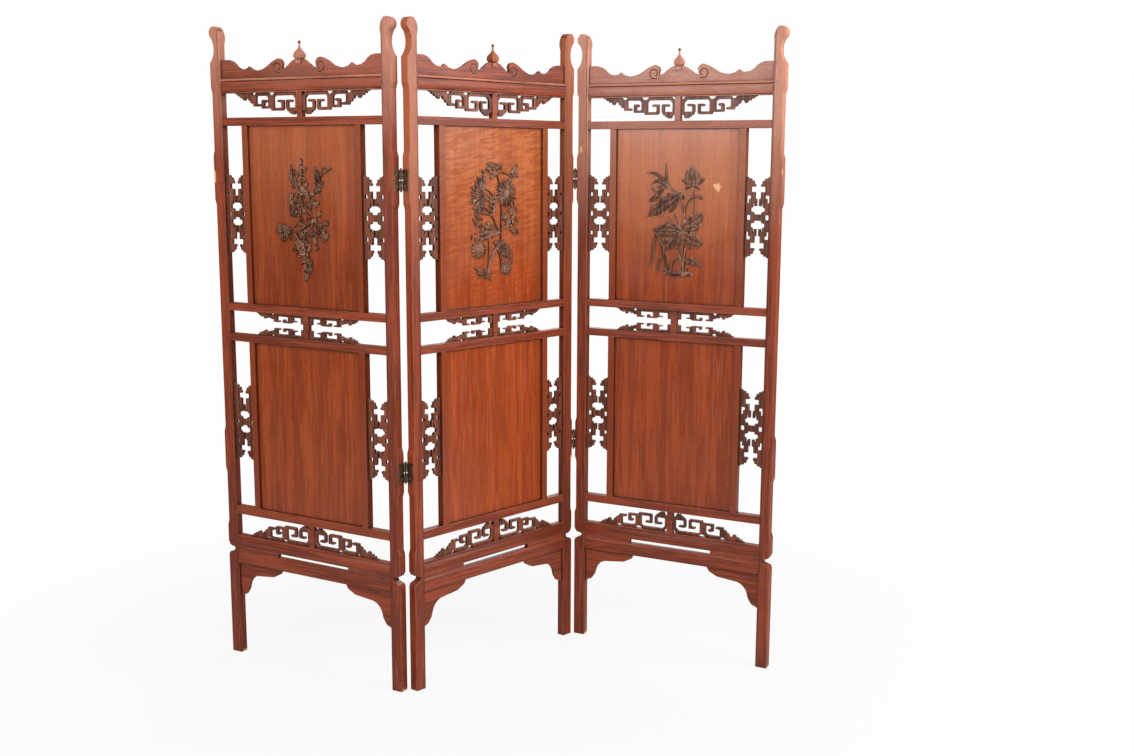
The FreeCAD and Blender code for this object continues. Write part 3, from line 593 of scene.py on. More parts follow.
def soften(node, width):
    weld = node.modifiers.new("Weld", "WELD")
    weld.merge_threshold = weldReach
    flat = node.modifiers.new("Flat", "DECIMATE")
    flat.decimate_type = "DISSOLVE"
    flat.angle_limit = math.radians(flatAngle)
    bevel = node.modifiers.new("Bevel", "BEVEL")
    bevel.width = width
    bevel.segments = edgeSegments
    bevel.limit_method = "ANGLE"
    bevel.angle_limit = math.radians(softAngle)


for name, node in nodes.items():
    node.data.materials.clear()
    if "hinge" in name:
        node.data.materials.append(hingeBrass)
        continue
    leaf = name.split("_")[0]
    for key, (wood, width) in nodeFinishes.items():
        if name.endswith(key):
            node.data.materials.append(woods[leaf][wood])
            soften(node, width)
            break
print("nodes finished")

# Carved sprays: blades, stems and flower heads, drawn in millimetres, with heights from the spray's foot
carving = {"foot": 1100, "boardFace": 9.0, "sink": 0.5, "frontLimit": 1.9}
stemLook = {"sides": 3, "steps": 4, "wobble": 0.25, "swell": (0.9, 1.12)}
bladeLook = {
    "across": 8, "stepsPerSpan": 4, "stepsPerVein": 4, "lowest": 0.4, "narrowest": 0.3, "tipShare": 0.12,
    "blunt": 6, "waves": 19, "waveSwell": 0.35, "waveRise": 2.0, "creaseWidth": 0.17, "veinRise": 0.55,
    "veinSlant": 0.8, "domeFoot": 0.55, "domeSwell": 0.45, "domeShift": 0.15, "slopeReach": 0.05,
}
twigLook = {"turn": 0.4, "length": (9, 17), "half": (1.5, 3.4), "tip": 0.5, "height": (3.0, 6.4),
            "lean": 1.2, "edge": 0.9, "crease": 0.9}
# a petal swells along its length: (share of the way out, share of its width)
petalSwell = ((0.0, 0.55), (0.55, 1.0), (1.0, 0.6))
petalLook = {"turn": 3, "reach": (0.92, 1.06), "height": 0.4}
blossomLook = {"petals": 5, "inner": 0.12, "width": 0.4, "edge": 0.35, "crease": 1.3, "knob": 0.22,
               "knobSink": 0.4}
knobLook = {"segments": 10, "rings": 7, "flatness": 0.8}
fullTurn = 6.28
goldenTurn = 2.4
dice = random.Random(7)


def spread(amount):
    return dice.uniform(-amount, amount)


def curvePoint(points, place):
    # Catmull-Rom point on a row of tuples, place running from 0 to the last index
    last = len(points) - 1
    index = min(int(place), last - 1)
    share = place - index
    rows = [points[max(index - 1, 0)], points[index], points[index + 1], points[min(index + 2, last)]]
    result = []
    for a, b, c, d in zip(*rows):
        result.append(0.5 * (2 * b + (c - a) * share + (2 * a - 5 * b + 4 * c - d) * share ** 2
                             + (3 * b - a - 3 * c + d) * share ** 3))
    return result


def blade(whole, spine, height, crease, edge=1.2, wave=0.0, lean=0.0, base=0.0, veins=0):
    # a leaf or petal: spine of (across, up, half width), domed, with a sunk midrib and a skirt to the board
    bm = bmesh.new()
    last = len(spine) - 1
    along = max(bladeLook["stepsPerSpan"] * last, bladeLook["stepsPerVein"] * veins)
    made = bmesh.ops.create_grid(bm, x_segments=bladeLook["across"], y_segments=along, size=1)["verts"]
    tipShare = bladeLook["tipShare"]
    phase = dice.uniform(0, fullTurn)
    for vert in made:
        # s runs across the blade from -1 to 1, t along it from 0 to 1
        s, t = vert.co.x, (vert.co.y + 1) / 2
        place = t * last
        u, z, half = curvePoint(spine, place)
        ahead = curvePoint(spine, min(place + bladeLook["slopeReach"], last))
        behind = curvePoint(spine, max(place - bladeLook["slopeReach"], 0))
        direction = Vector((ahead[0] - behind[0], ahead[1] - behind[1])).normalized()
        rounding = math.sqrt(max(1 - (2 * t - 1) ** bladeLook["blunt"], 0))
        half = max(half, bladeLook["narrowest"]) * (tipShare + (1 - tipShare) * rounding)
        ripple = wave * math.sin(t * bladeLook["waves"] + phase + (2 if s > 0 else 0))
        half *= 1 + ripple * bladeLook["waveSwell"]
        swell = math.sin(math.pi * min(t + bladeLook["domeShift"], 1))
        dome = bladeLook["domeFoot"] + bladeLook["domeSwell"] * swell
        rise = edge + (height - edge) * (1 - s * s) * dome
        rise -= crease * math.exp(-(s / bladeLook["creaseWidth"]) ** 2) * rounding
        rise += ripple * abs(s) * bladeLook["waveRise"] + lean * s + base
        if veins:
            slant = t * veins - abs(s) * bladeLook["veinSlant"]
            rise += bladeLook["veinRise"] * math.sin(2 * math.pi * slant) * min(abs(s) * 2, 1)
        rise = min(max(rise, bladeLook["lowest"]), carving["boardFace"] - carving["frontLimit"])
        side = Vector((-direction.y, direction.x)) * (s * half)
        vert.co = Vector((u + side.x, carving["boardFace"] - rise, carving["foot"] + z + side.y))
    faces = {face for vert in made for face in vert.link_faces}
    rim = {side for face in faces for side in face.edges if side.is_boundary}
    skirt = bmesh.ops.extrude_edge_only(bm, edges=list(rim))["geom"]
    for item in skirt:
        if isinstance(item, bmesh.types.BMVert):
            item.co.y = carving["boardFace"] + carving["sink"]
    foot = [item for item in skirt if isinstance(item, bmesh.types.BMEdge) and item.is_boundary]
    bmesh.ops.contextual_create(bm, geom=foot)
    join(whole, bm)


def leafSpine(u0, z0, u1, z1, half, tip):
    return [(u0, z0, half * 0.6), ((u0 + u1) / 2, (z0 + z1) / 2, half), (u1, z1, tip)]


def thicket(bm, patches):
    # small leaves and buds scattered over patches of (across, up, half width, half height, count)
    for u, z, halfWidth, halfHeight, count in patches:
        for index in range(count):
            angle = index * goldenTurn + spread(twigLook["turn"])
            reach = math.sqrt((index + 0.5) / count)
            u0, z0 = u + halfWidth * reach * math.cos(angle), z + halfHeight * reach * math.sin(angle)
            turn, length = dice.uniform(0, fullTurn), dice.uniform(*twigLook["length"])
            u1, z1 = u0 + length * math.cos(turn), z0 + length * math.sin(turn)
            spine = leafSpine(u0, z0, u1, z1, dice.uniform(*twigLook["half"]), twigLook["tip"])
            blade(bm, spine, height=dice.uniform(*twigLook["height"]), crease=twigLook["crease"],
                  edge=twigLook["edge"], lean=spread(twigLook["lean"]))


def carveStems(bm, stems, lift):
    # tapering round stems through points of (across, up, radius)
    for points in stems:
        loop = []
        for index in range(stemLook["steps"] * (len(points) - 1) + 1):
            u, z, radius = curvePoint(points, index / stemLook["steps"])
            wobble = spread(stemLook["wobble"])
            radius *= dice.uniform(*stemLook["swell"])
            z += carving["foot"] + wobble
            loop.append((u + wobble, carving["boardFace"] - lift, z, radius))
        join(bm, curveSolid([loop], False, dimensions="3D", bevel_depth=1.0,
                            bevel_resolution=stemLook["sides"], use_fill_caps=True))


def knob(whole, u, z, radius, rise):
    bm = bmesh.new()
    ball = bmesh.ops.create_uvsphere(bm, u_segments=knobLook["segments"], v_segments=knobLook["rings"],
                                     radius=1)["verts"]
    for vert in ball:
        depth = carving["boardFace"] - rise + vert.co.y * radius * knobLook["flatness"]
        vert.co = Vector((u + vert.co.x * radius, depth, carving["foot"] + z + vert.co.z * radius))
    join(whole, bm)


def ring(bm, u, z, inner, outer, count, width, height, start=0.0, sweep=360.0, flat=1.0, **shape):
    # petals standing round a centre; flat squeezes the ring in height
    for index in range(count):
        angle = math.radians(start + sweep * index / count + spread(petalLook["turn"]))
        reach = outer * dice.uniform(*petalLook["reach"])
        spine = []
        for share, swell in petalSwell:
            distance = inner + (reach - inner) * share
            spine.append((u + distance * math.cos(angle), z + distance * math.sin(angle) * flat,
                          width * swell))
        blade(bm, spine, height=height + spread(petalLook["height"]), **shape)


def blossom(bm, u, z, radius, rise):
    # five cupped petals round a small knob
    inner, width = radius * blossomLook["inner"], radius * blossomLook["width"]
    ring(bm, u, z, inner, radius, blossomLook["petals"], width, rise, crease=blossomLook["crease"],
         start=dice.uniform(0, 360 / blossomLook["petals"]), edge=rise * blossomLook["edge"])
    knob(bm, u, z, radius * blossomLook["knob"], rise - blossomLook["knobSink"])


prunusThickets = [
    (-30, 296, 11, 30, 16), (0, 298, 15, 42, 26), (54, 286, 16, 32, 20), (84, 316, 10, 8, 5),
    (0, 232, 44, 30, 42), (-66, 150, 24, 22, 20), (16, 152, 46, 40, 52), (64, 148, 18, 24, 12),
    (-8, 106, 26, 28, 24), (10, 52, 12, 30, 16),
]
chrysanthemumThickets = [
    (-2, 324, 30, 14, 15), (76, 312, 11, 15, 6), (-60, 230, 24, 42, 22), (70, 206, 15, 24, 10),
    (62, 168, 20, 20, 11), (-60, 142, 26, 14, 10), (-52, 40, 24, 16, 9), (40, 86, 24, 24, 12),
    (-12, 228, 16, 24, 9), (-30, 162, 24, 16, 9), (4, 114, 16, 12, 6),
]


def carvePrunus(bm):
    stems = [
        [(8, 20, 2.2), (11, 50, 3.4), (13, 82, 3.6), (4, 106, 3.8), (-12, 126, 3.8), (-29, 146, 3.2)],
        [(-31, 144, 2.4), (0, 161, 3.0), (38, 183, 3.2)],
        [(40, 184, 3.0), (22, 195, 2.6), (6, 207, 2.8), (-2, 226, 3.0), (-5, 252, 3.4), (-2, 278, 3.0),
         (-2, 308, 2.4), (-5, 336, 1.6)],
        [(-4, 250, 2.4), (-20, 272, 2.4), (-32, 295, 2.2), (-36, 324, 1.4)],
        [(-4, 244, 2.0), (-36, 252, 1.8), (-37, 232, 1.8), (-24, 217, 1.5)],
        [(-2, 252, 2.6), (30, 253, 2.4), (58, 264, 2.2), (60, 280, 2.0), (47, 288, 1.8), (45, 312, 1.5)],
        [(46, 286, 1.8), (62, 299, 1.8), (76, 311, 1.6), (92, 319, 1.3)],
        [(-2, 225, 2.2), (22, 227, 2.2), (50, 228, 1.8)],
        [(38, 183, 2.6), (60, 171, 2.2), (85, 179, 1.6)],
        [(40, 184, 2.0), (52, 196, 1.6), (58, 206, 1.3)],
        [(-2, 130, 2.4), (26, 147, 2.2), (55, 143, 2.0), (84, 140, 1.6)],
        [(50, 143, 1.8), (42, 126, 1.8), (45, 108, 1.4)],
        [(-29, 146, 2.6), (-56, 150, 2.2), (-92, 166, 1.4)], [(-58, 150, 2.0), (-72, 132, 1.6)],
        [(8, 126, 2.2), (18, 114, 2.4), (14, 88, 2.4)], [(12, 80, 2.2), (24, 62, 1.8), (22, 48, 1.5)],
        [(20, 162, 2.0), (8, 150, 1.8), (2, 136, 1.6)], [(38, 182, 2.0), (28, 162, 1.8), (24, 148, 1.5)],
        [(10, 208, 1.8), (-12, 204, 1.8), (-28, 202, 1.5)],
    ]
    carveStems(bm, stems, 2.4)
    thicket(bm, prunusThickets)
    heads = [
        (-38, 297, 9), (-21, 277, 11), (-3, 311, 8), (1, 266, 11), (14, 257, 9), (36, 255, 9),
        (52, 308, 10), (64, 304, 7), (80, 315, 8), (57, 273, 10), (-39, 247, 9), (-31, 203, 15),
        (-9, 231, 13), (22, 226, 13), (46, 227, 9), (57, 200, 7), (79, 177, 9), (58, 170, 9),
        (-60, 150, 15), (-82, 164, 9), (-72, 132, 10), (73, 141, 13), (40, 128, 9), (46, 108, 6),
        (29, 149, 10), (-20, 116, 13), (-6, 96, 12), (6, 76, 12), (21, 68, 9), (7, 57, 10), (22, 51, 8),
        (8, 32, 9), (-4, 140, 9), (-40, 232, 7), (16, 278, 6), (-45, 155, 8), (-7, 186, 8), (20, 105, 7),
    ]
    for u, z, radius in heads:
        blossom(bm, u, z, radius, dice.uniform(4.0, 6.2))
    tips = [
        ((-3, 324), (-6, 349), 4.5), ((-36, 308), (-37, 332), 5), ((45, 308), (45, 328), 4.5),
        ((84, 314), (98, 323), 3.5), ((-82, 164), (-98, 164), 3.5), ((10, 272), (18, 286), 4),
        ((-16, 106), (-42, 97), 2.6), ((50, 224), (58, 234), 4), ((9, 30), (0, 17), 4.5),
        ((84, 177), (90, 183), 3), ((82, 142), (90, 136), 4), ((44, 112), (40, 102), 3.5),
        ((-4, 202), (-14, 190), 4), ((60, 200), (60, 211), 3),
    ]
    for (u0, z0), (u1, z1), half in tips:
        blade(bm, leafSpine(u0, z0, u1, z1, half, 0.4), height=4.4, crease=0.5)


def carveChrysanthemum(bm):
    stems = [
        [(26, 232, 2.0), (25, 185, 2.4), (24, 145, 2.6), (20, 122, 2.8), (0, 99, 2.6), (-18, 74, 2.8),
         (-24, 38, 3.0)],
        [(-48, 223, 1.6), (-30, 214, 2.0), (-12, 197, 2.4), (4, 172, 2.4), (18, 146, 2.2)],
        [(-36, 271, 1.6), (-16, 258, 1.8), (0, 242, 2.0), (-2, 220, 1.8), (-12, 198, 1.8)],
        [(-52, 207, 1.4), (-32, 200, 1.6), (-14, 196, 1.8)],
        [(-23, 138, 1.6), (-23, 90, 2.0), (-26, 42, 2.2)], [(6, 107, 1.8), (20, 82, 2.0), (24, 52, 1.8)],
        [(4, 104, 1.6), (30, 88, 1.6), (48, 76, 1.5)],
        [(-18, 314, 1.8), (6, 311, 2.0), (34, 312, 2.0), (64, 302, 1.6)],
        [(8, 311, 1.6), (14, 292, 1.8), (20, 272, 1.6)], [(24, 158, 1.6), (42, 164, 1.8), (62, 168, 1.6)],
        [(-28, 240, 1.3), (-16, 232, 1.5), (-2, 236, 1.4)],
        [(-30, 252, 1.3), (-14, 244, 1.5), (-4, 246, 1.3)],
        [(62, 230, 1.6), (66, 212, 1.6), (58, 196, 1.5)],
    ]
    carveStems(bm, stems, 2.2)
    thicket(bm, chrysanthemumThickets)
    # the round flower, the half flower and the two curled ones
    ring(bm, 43, 255, 6, 42, 20, 3.9, 4.6, edge=2.0, crease=0.5)
    ring(bm, 43, 255, 5, 29, 15, 3.6, 5.8, start=9, edge=2.6, crease=0.5)
    for index in range(22):
        angle, reach = index * goldenTurn, 1.9 * math.sqrt(index)
        knob(bm, 43 + reach * math.cos(angle), 255 + reach * math.sin(angle), 1.9, 5.0)
    ring(bm, -48, 248, 8, 43, 13, 3.6, 4.4, start=98, sweep=170, flat=1.3, edge=1.8, crease=0.5)
    ring(bm, -45, 250, 6, 30, 10, 3.4, 5.6, start=102, sweep=165, flat=1.35, edge=2.4, crease=0.5)
    for index in range(8):
        z0 = 200 + index * 13
        spine = [(-47, z0, 3.0), (-42, z0 + 9, 4.2), (-44 + index, z0 + 20, 1.0)]
        blade(bm, spine, height=5.4, crease=0.6, edge=2.0)
    blade(bm, [(-48, 236, 2.0), (-56, 212, 4.5), (-66, 192, 1.0)], height=6.4, crease=0.4, edge=2.4)
    blade(bm, [(-46, 272, 2.4), (-38, 292, 4.6), (-33, 310, 1.0)], height=5.2, crease=0.8, edge=1.8)
    ring(bm, -62, 103, 8, 29, 13, 5.0, 4.6, flat=0.9, edge=1.8, crease=0.8)
    ring(bm, -62, 103, 3, 17, 9, 4.4, 6.0, start=20, flat=0.9, edge=2.6, crease=0.7)
    knob(bm, -66, 103, 5, 4.6)
    ring(bm, 43, 47, 5, 23, 12, 4.4, 4.6, flat=0.9, edge=1.8, crease=0.7)
    ring(bm, 43, 47, 2, 13, 8, 3.8, 6.0, start=20, flat=0.9, edge=2.6, crease=0.6)
    for u, z, radius in ((37, 190, 11), (52, 176, 11), (-2, 308, 7), (-12, 300, 6), (-22, 172, 8)):
        ring(bm, u, z, 2, radius, 8, radius * 0.3, 5.4, start=dice.uniform(0, 40), edge=2.2, crease=0.4)
        knob(bm, u, z, radius * 0.28, 5.0)
    leaves = [
        [(-28, 339, 2), (-6, 331, 8), (22, 328, 7), (32, 326, 1)],
        [(-34, 325, 2), (-22, 318, 6), (-6, 312, 1)],
        [(66, 303, 3), (72, 318, 9), (80, 330, 5), (90, 332, 1)],
        [(62, 296, 2), (78, 302, 4), (92, 312, 1)], [(-46, 322, 1), (-42, 312, 5), (-34, 306, 2)],
        [(-9, 197, 1), (-2, 211, 3), (5, 223, 0.6)], [(18, 147, 2), (-16, 162, 7), (-58, 162, 2)],
        [(14, 147, 2), (-18, 149, 8), (-58, 146, 3)], [(10, 146, 2), (-16, 140, 8), (-50, 130, 2)],
        [(-76, 200, 1), (-62, 190, 7), (-44, 184, 2)], [(-72, 166, 1), (-60, 172, 7), (-44, 168, 2)],
        [(-82, 190, 1), (-74, 178, 6), (-60, 170, 2)], [(58, 208, 3), (70, 196, 9), (92, 172, 1)],
        [(58, 210, 2), (74, 210, 6), (92, 206, 1)],
        [(60, 168, 3), (72, 152, 10), (84, 147, 9), (97, 148, 1)],
        [(60, 230, 2), (68, 218, 6), (80, 206, 1)],
        [(8, 116, 3), (34, 109, 11), (56, 90, 14), (68, 60, 4)], [(6, 110, 2), (30, 96, 7), (52, 78, 2)],
        [(-82, 57, 2), (-52, 43, 9), (-28, 30, 9), (-14, 16, 1)],
        [(-40, 50, 1), (-24, 40, 6), (-10, 32, 2)], [(-6, 120, 2), (6, 121, 7), (16, 124, 2)],
        [(12, 108, 1), (22, 118, 4), (34, 126, 0.8)], [(-62, 136, 2), (-50, 132, 6), (-36, 136, 2)],
        [(-2, 106, 2), (-6, 92, 6), (-16, 78, 1)],
    ]
    for spine in leaves:
        blade(bm, spine, height=dice.uniform(4.2, 5.6), crease=1.1, edge=1.3, wave=0.35, lean=spread(0.8))


# the broad wavy leaves stand higher than the others and are veined
lotusLook = {"wavy": 0.25, "broad": 10, "veins": 9, "boldness": 1.5, "edge": 1.4, "lean": 0.9}


def carveLotus(bm):
    stems = [
        [(50, 274, 2.2), (51, 240, 2.4), (52, 202, 2.2)],
        [(25, 206, 2.0), (34, 232, 2.2), (48, 246, 2.2), (70, 247, 1.8)],
        [(-24, 276, 2.2), (-6, 262, 2.2), (12, 250, 2.0)], [(5, 106, 2.0), (16, 75, 2.2), (20, 36, 2.4)],
        [(31, 102, 2.0), (27, 70, 2.4), (25, 22, 2.6)], [(24, 118, 1.8), (22, 90, 2.0), (24, 50, 2.0)],
        [(11, 79, 1.4), (-6, 62, 1.8), (-12, 38, 2.0)],
        [(-26, 190, 1.2), (-18, 178, 1.4), (-16, 168, 1.4)],
        [(42, 52, 1.6), (36, 40, 1.8), (34, 26, 2.0)], [(-8, 200, 1.3), (0, 185, 1.5), (6, 168, 1.5)],
        [(28, 202, 1.6), (26, 180, 1.8), (22, 162, 1.8)],
        [(-76, 272, 1.4), (-58, 252, 1.8), (-40, 230, 1.8)],
    ]
    carveStems(bm, stems, 2.4)
    # blades of (across, up, half width), then height, crease and waviness
    leaves = [
        ([(-21, 272, 2), (-30, 298, 5), (-33, 342, 0.6)], 5.0, 1.0, 0),
        ([(-20, 274, 2), (-44, 298, 5), (-68, 312, 4), (-93, 312, 0.6)], 5.2, 1.2, 0),
        ([(-22, 275, 2), (-44, 286, 5), (-62, 290, 4), (-78, 280, 0.6)], 5.0, 1.2, 0),
        ([(-26, 272, 2), (-44, 276, 3), (-62, 272, 0.6)], 4.4, 0.8, 0),
        ([(-38, 231, 1), (-58, 252, 4), (-80, 276, 0.8)], 5.4, 0.8, 0),
        ([(-40, 274, 2), (-48, 260, 9), (-60, 248, 3)], 4.6, 0.8, 0.2),
        ([(-56, 252, 3), (-68, 240, 9), (-84, 234, 2)], 5.8, 0.2, 0),
        ([(12, 258, 3), (24, 252, 7), (20, 238, 2)], 4.8, 0.8, 0.3),
        ([(18, 254, 6), (-8, 240, 17), (-30, 228, 19), (-60, 208, 17), (-88, 189, 2)], 5.6, 1.8, 0.35),
        ([(4, 232, 2), (-8, 216, 8), (-22, 202, 3)], 4.6, 0.6, 0.4),
        ([(10, 236, 1), (22, 216, 4), (27, 186, 0.8)], 4.8, 0.8, 0),
        ([(-14, 252, 2), (-22, 252, 6), (-30, 250, 1)], 4.4, 0.6, 0.2),
        ([(24, 144, 6), (-4, 156, 15), (-36, 156, 13), (-72, 150, 2)], 5.4, 1.6, 0.35),
        ([(4, 146, 3), (-24, 140, 9), (-56, 137, 2)], 4.8, 0.9, 0.45),
        ([(10, 148, 5), (40, 168, 17), (62, 182, 19), (82, 200, 7)], 5.4, 1.6, 0.3),
        ([(22, 148, 4), (46, 158, 11), (72, 162, 3)], 4.4, 0.9, 0.45),
        ([(16, 146, 5), (40, 132, 18), (60, 121, 19), (85, 118, 2)], 5.6, 1.8, 0.3),
        ([(34, 126, 5), (44, 112, 10), (54, 96, 2)], 4.2, 0.7, 0.4),
        ([(16, 142, 4), (-6, 118, 11), (-30, 92, 2)], 5.4, 1.6, 0.3),
        ([(14, 138, 4), (16, 120, 12), (14, 105, 5)], 4.6, 0.8, 0.4),
        ([(-10, 122, 3), (-24, 122, 9), (-38, 116, 2)], 4.2, 0.9, 0.35),
        ([(-62, 146, 3), (-67, 105, 6), (-70, 70, 6), (-78, 42, 0.8)], 5.2, 1.4, 0),
        ([(-60, 144, 2), (-42, 112, 5), (-28, 70, 7), (-18, 22, 4)], 5.6, 1.4, 0),
        ([(-42, 80, 2), (-48, 58, 8), (-56, 30, 1)], 4.8, 1.2, 0.1),
        ([(28, 68, 4), (52, 66, 11), (84, 54, 1)], 5.4, 1.4, 0.25),
        ([(-36, 28, 4), (0, 29, 8), (30, 28, 8), (54, 28, 5)], 4.4, 0.2, 0.3),
        ([(66, 250, 2), (74, 246, 5), (80, 243, 2)], 5.0, 0.5, 0),
        ([(-40, 40, 3), (-26, 34, 8), (-12, 28, 3)], 4.8, 0.5, 0.3),
    ]
    for spine, height, crease, wave in leaves:
        widest = max(half for u, z, half in spine)
        bold = wave >= lotusLook["wavy"] and widest > lotusLook["broad"]
        veins, boldness = (lotusLook["veins"], lotusLook["boldness"]) if bold else (0, 1.0)
        blade(bm, spine, height=height + boldness - 1, crease=crease * boldness, wave=wave * boldness,
              edge=lotusLook["edge"] * boldness, lean=spread(lotusLook["lean"]), veins=veins)
    petals = [
        ([(47, 284, 4), (34, 302, 9), (37, 324, 3)], 4.6),
        ([(49, 284, 4), (62, 302, 9), (61, 322, 3)], 4.8),
        ([(48, 284, 5), (48, 310, 13), (47, 332, 4)], 5.4),
        ([(46, 280, 3), (32, 288, 7), (14, 294, 1)], 5.0),
        ([(50, 280, 3), (68, 288, 7), (86, 299, 1)], 5.0),
        ([(46, 280, 3), (34, 275, 6), (26, 266, 1)], 5.2),
        ([(50, 280, 3), (64, 276, 6), (72, 266, 1)], 5.2),
        ([(47, 276, 4), (46, 288, 9), (46, 300, 3)], 6.4),
        ([(44, 278, 3), (34, 290, 6), (28, 302, 1)], 5.8),
        ([(52, 278, 3), (62, 290, 6), (70, 300, 1)], 5.8),
    ]
    for spine, height in petals:
        blade(bm, spine, height=height, crease=0.7, edge=1.6, base=0.3)


carvings = {"left": carvePrunus, "middle": carveChrysanthemum, "right": carveLotus}
for leaf, carve in carvings.items():
    bm = bmesh.new()
    carve(bm)
    bmesh.ops.translate(bm, verts=bm.verts, vec=(0, -leafHalfDepth / mm, 0))
    name = leaf + "CarvedSpray"
    spray = addPiece(name, bm, leaf, woods[leaf]["spray"])
    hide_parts(leaf + "_carved_spray")
    print(name, len(spray.data.polygons), "faces")

# Frets cut finer than the solids: outlines in millimetres, with feathered leaf tips and rounded hooks
fretLook = {"depth": 9.0, "edge": 0.8, "corner": 1.5, "sideCorner": 1.2, "sideMiddle": 241.0}
# a bar's half length, half depth and softened edge
bars = {"rail": (276.5, 11.0, 1.0), "post": (9.0, 8.0, 0.8)}
longFretOutline = [
    (0, 12), (3, 10), (12, 0), (80, 0), (86, 7), (92, 8), (98, 6), (104, 0), (146, 0), (151, 6), (155, 7),
    (159, 6), (164, 0), (224, 0), (219, 3.5), (213, 4), (214, 9), (205, 8), (205, 14), (197, 12.5),
    (194, 19), (187, 21), (184, 14), (180, 11), (175, 15), (174, 21), (167, 22), (166, 28), (157, 30),
    (157, 37), (134, 37), (132, 33), (134, 30), (146, 29), (146, 9), (110, 9), (103, 13), (103, 36),
    (118, 36), (118, 27), (112, 27), (109, 23), (112, 19), (124, 19), (127, 22), (127, 43), (93, 43),
    (93, 49), (53, 49), (49, 45), (49, 20), (68, 20), (71.5, 23), (69, 27), (57, 27), (57, 41), (84, 41),
    (84, 13), (79, 9), (16, 9), (8, 17), (8, 41), (33, 41), (33, 27), (20, 27), (16.5, 23), (20, 20),
    (38, 20), (41, 23), (41, 42), (38, 46), (36, 51), (31, 50), (30, 56), (25, 54), (23, 60), (17, 57.5),
    (14, 61), (10, 57), (8, 50), (0, 50),
]
shortFretOutline = [
    (0, 0), (107, 0), (110, 5), (114, 7), (118, 5), (121, 0), (173, 0), (169, 3), (163, 4), (163, 9),
    (156, 8.5), (154, 13), (147, 10), (143, 17), (138, 17), (136, 11), (130, 10), (127, 15), (120, 13),
    (117, 17), (108, 17), (108, 24), (88, 24), (86, 21.5), (88, 19), (97, 19), (97, 8), (57, 8), (57, 20),
    (68, 20), (68, 15), (76, 15), (76, 25), (46, 25), (41, 21), (29, 21), (27, 19), (29, 17), (39, 17),
    (39, 8), (11, 8), (11, 25), (0, 25),
]
sideFretQuarter = [
    (35.5, 111), (29, 111), (27, 106), (20, 107.5), (19, 101), (12, 101), (12, 94), (7.5, 90), (8, 84),
    (20, 84), (20, 70), (8, 70), (8, 52), (3, 51), (3, 31), (10, 31), (11, 40), (14, 40), (14, 28),
    (20, 26), (20, 17), (11, 15), (10, 9),
]
# a hole halfway up each quarter and one beside the centre
sideFretHoles = (
    [(21.5, 51), (30.5, 51), (30.5, 61), (21.5, 61)], [(21, -6.5), (30.5, -6.5), (30.5, 6.5), (21, 6.5)],
)
# the right leaf's right-hand frets have larger, L-shaped ones
bentFretHoles = (
    [(20.5, 51.5), (26, 51.5), (26, 39.5), (32, 39.5), (32, 60), (20.5, 60)],
    [(21, -6.5), (31.5, -6.5), (31.5, 6.5), (21, 6.5)],
)


def rounded(outline, corner):
    # every corner is cut back by the corner length, or by a third of a short side
    points = []
    count = len(outline)
    for index, point in enumerate(outline):
        here = Vector(point)
        for neighbour in (outline[index - 1], outline[(index + 1) % count]):
            side = Vector(neighbour) - here
            cut = min(corner, side.length / 3)
            points.append(tuple(here + side.normalized() * cut))
    return points


def cutBoard(bm, outline, holes, corner, place):
    # an extruded board with softened edges; place moves it from the drawing into the leaf
    edge = fretLook["edge"]
    loops = [[(*point, 0, 1) for point in rounded(loop, corner)] for loop in [outline] + holes]
    part = curveSolid(loops, True, dimensions="2D", fill_mode="BOTH", extrude=fretLook["depth"] / 2 - edge,
                      bevel_depth=edge, bevel_resolution=1, offset=-edge)
    bmesh.ops.transform(part, matrix=place, verts=part.verts)
    closeSeams(part, 0.01)
    for face in part.faces:
        face.material_index = 1
    join(bm, part)


def drawingPlace(across, level, sideways, upwards):
    # drawing X goes across the leaf, drawing Y up or down it, and the thickness along its depth
    return Matrix(((sideways, 0, 0, across), (0, 0, 1, 0), (0, upwards, 0, level), (0, 0, 0, 1)))


def addBar(bm, kind, foot, top):
    # a squared bar in the middle of the leaf, its edges softened
    half, depth, edge = bars[kind]
    low, high = (-half, -depth, foot), (half, depth, top)
    made = bmesh.ops.create_cube(bm, size=1)["verts"]
    for vert in made:
        for axis in range(3):
            vert.co[axis] = low[axis] if vert.co[axis] < 0 else high[axis]
    roundEdges(bm, list({link for vert in made for link in vert.link_edges}), edge)


# heights of the rails at a lattice's foot and top, its frets, and whether they stand on the foot rail and
# hang from the top
latticeLooks = {
    "top": (22.0, 0.0, longFretOutline, False, True), "middle": (22.0, 22.0, shortFretOutline, True, True),
    "bottom": (0.0, 24.0, longFretOutline, True, False),
}


def addLattice(bm, leaf, part):
    footRail, topRail, outline, standing, hanging = latticeLooks[part]
    foot, top = heightsOf("%s_%s_lattice" % (leaf, part))
    bayFoot, bayTop = foot + footRail, top - topRail
    if footRail:
        addBar(bm, "rail", foot, bayFoot)
    if topRail:
        addBar(bm, "rail", bayTop, top)
    addBar(bm, "post", bayFoot, bayTop)
    levels = [(bayFoot, 1)] * standing + [(bayTop, -1)] * hanging
    post = bars["post"][0]
    for side in (-1, 1):
        for level, upwards in levels:
            cutBoard(bm, outline, [], fretLook["corner"], drawingPlace(side * post, level, side, upwards))


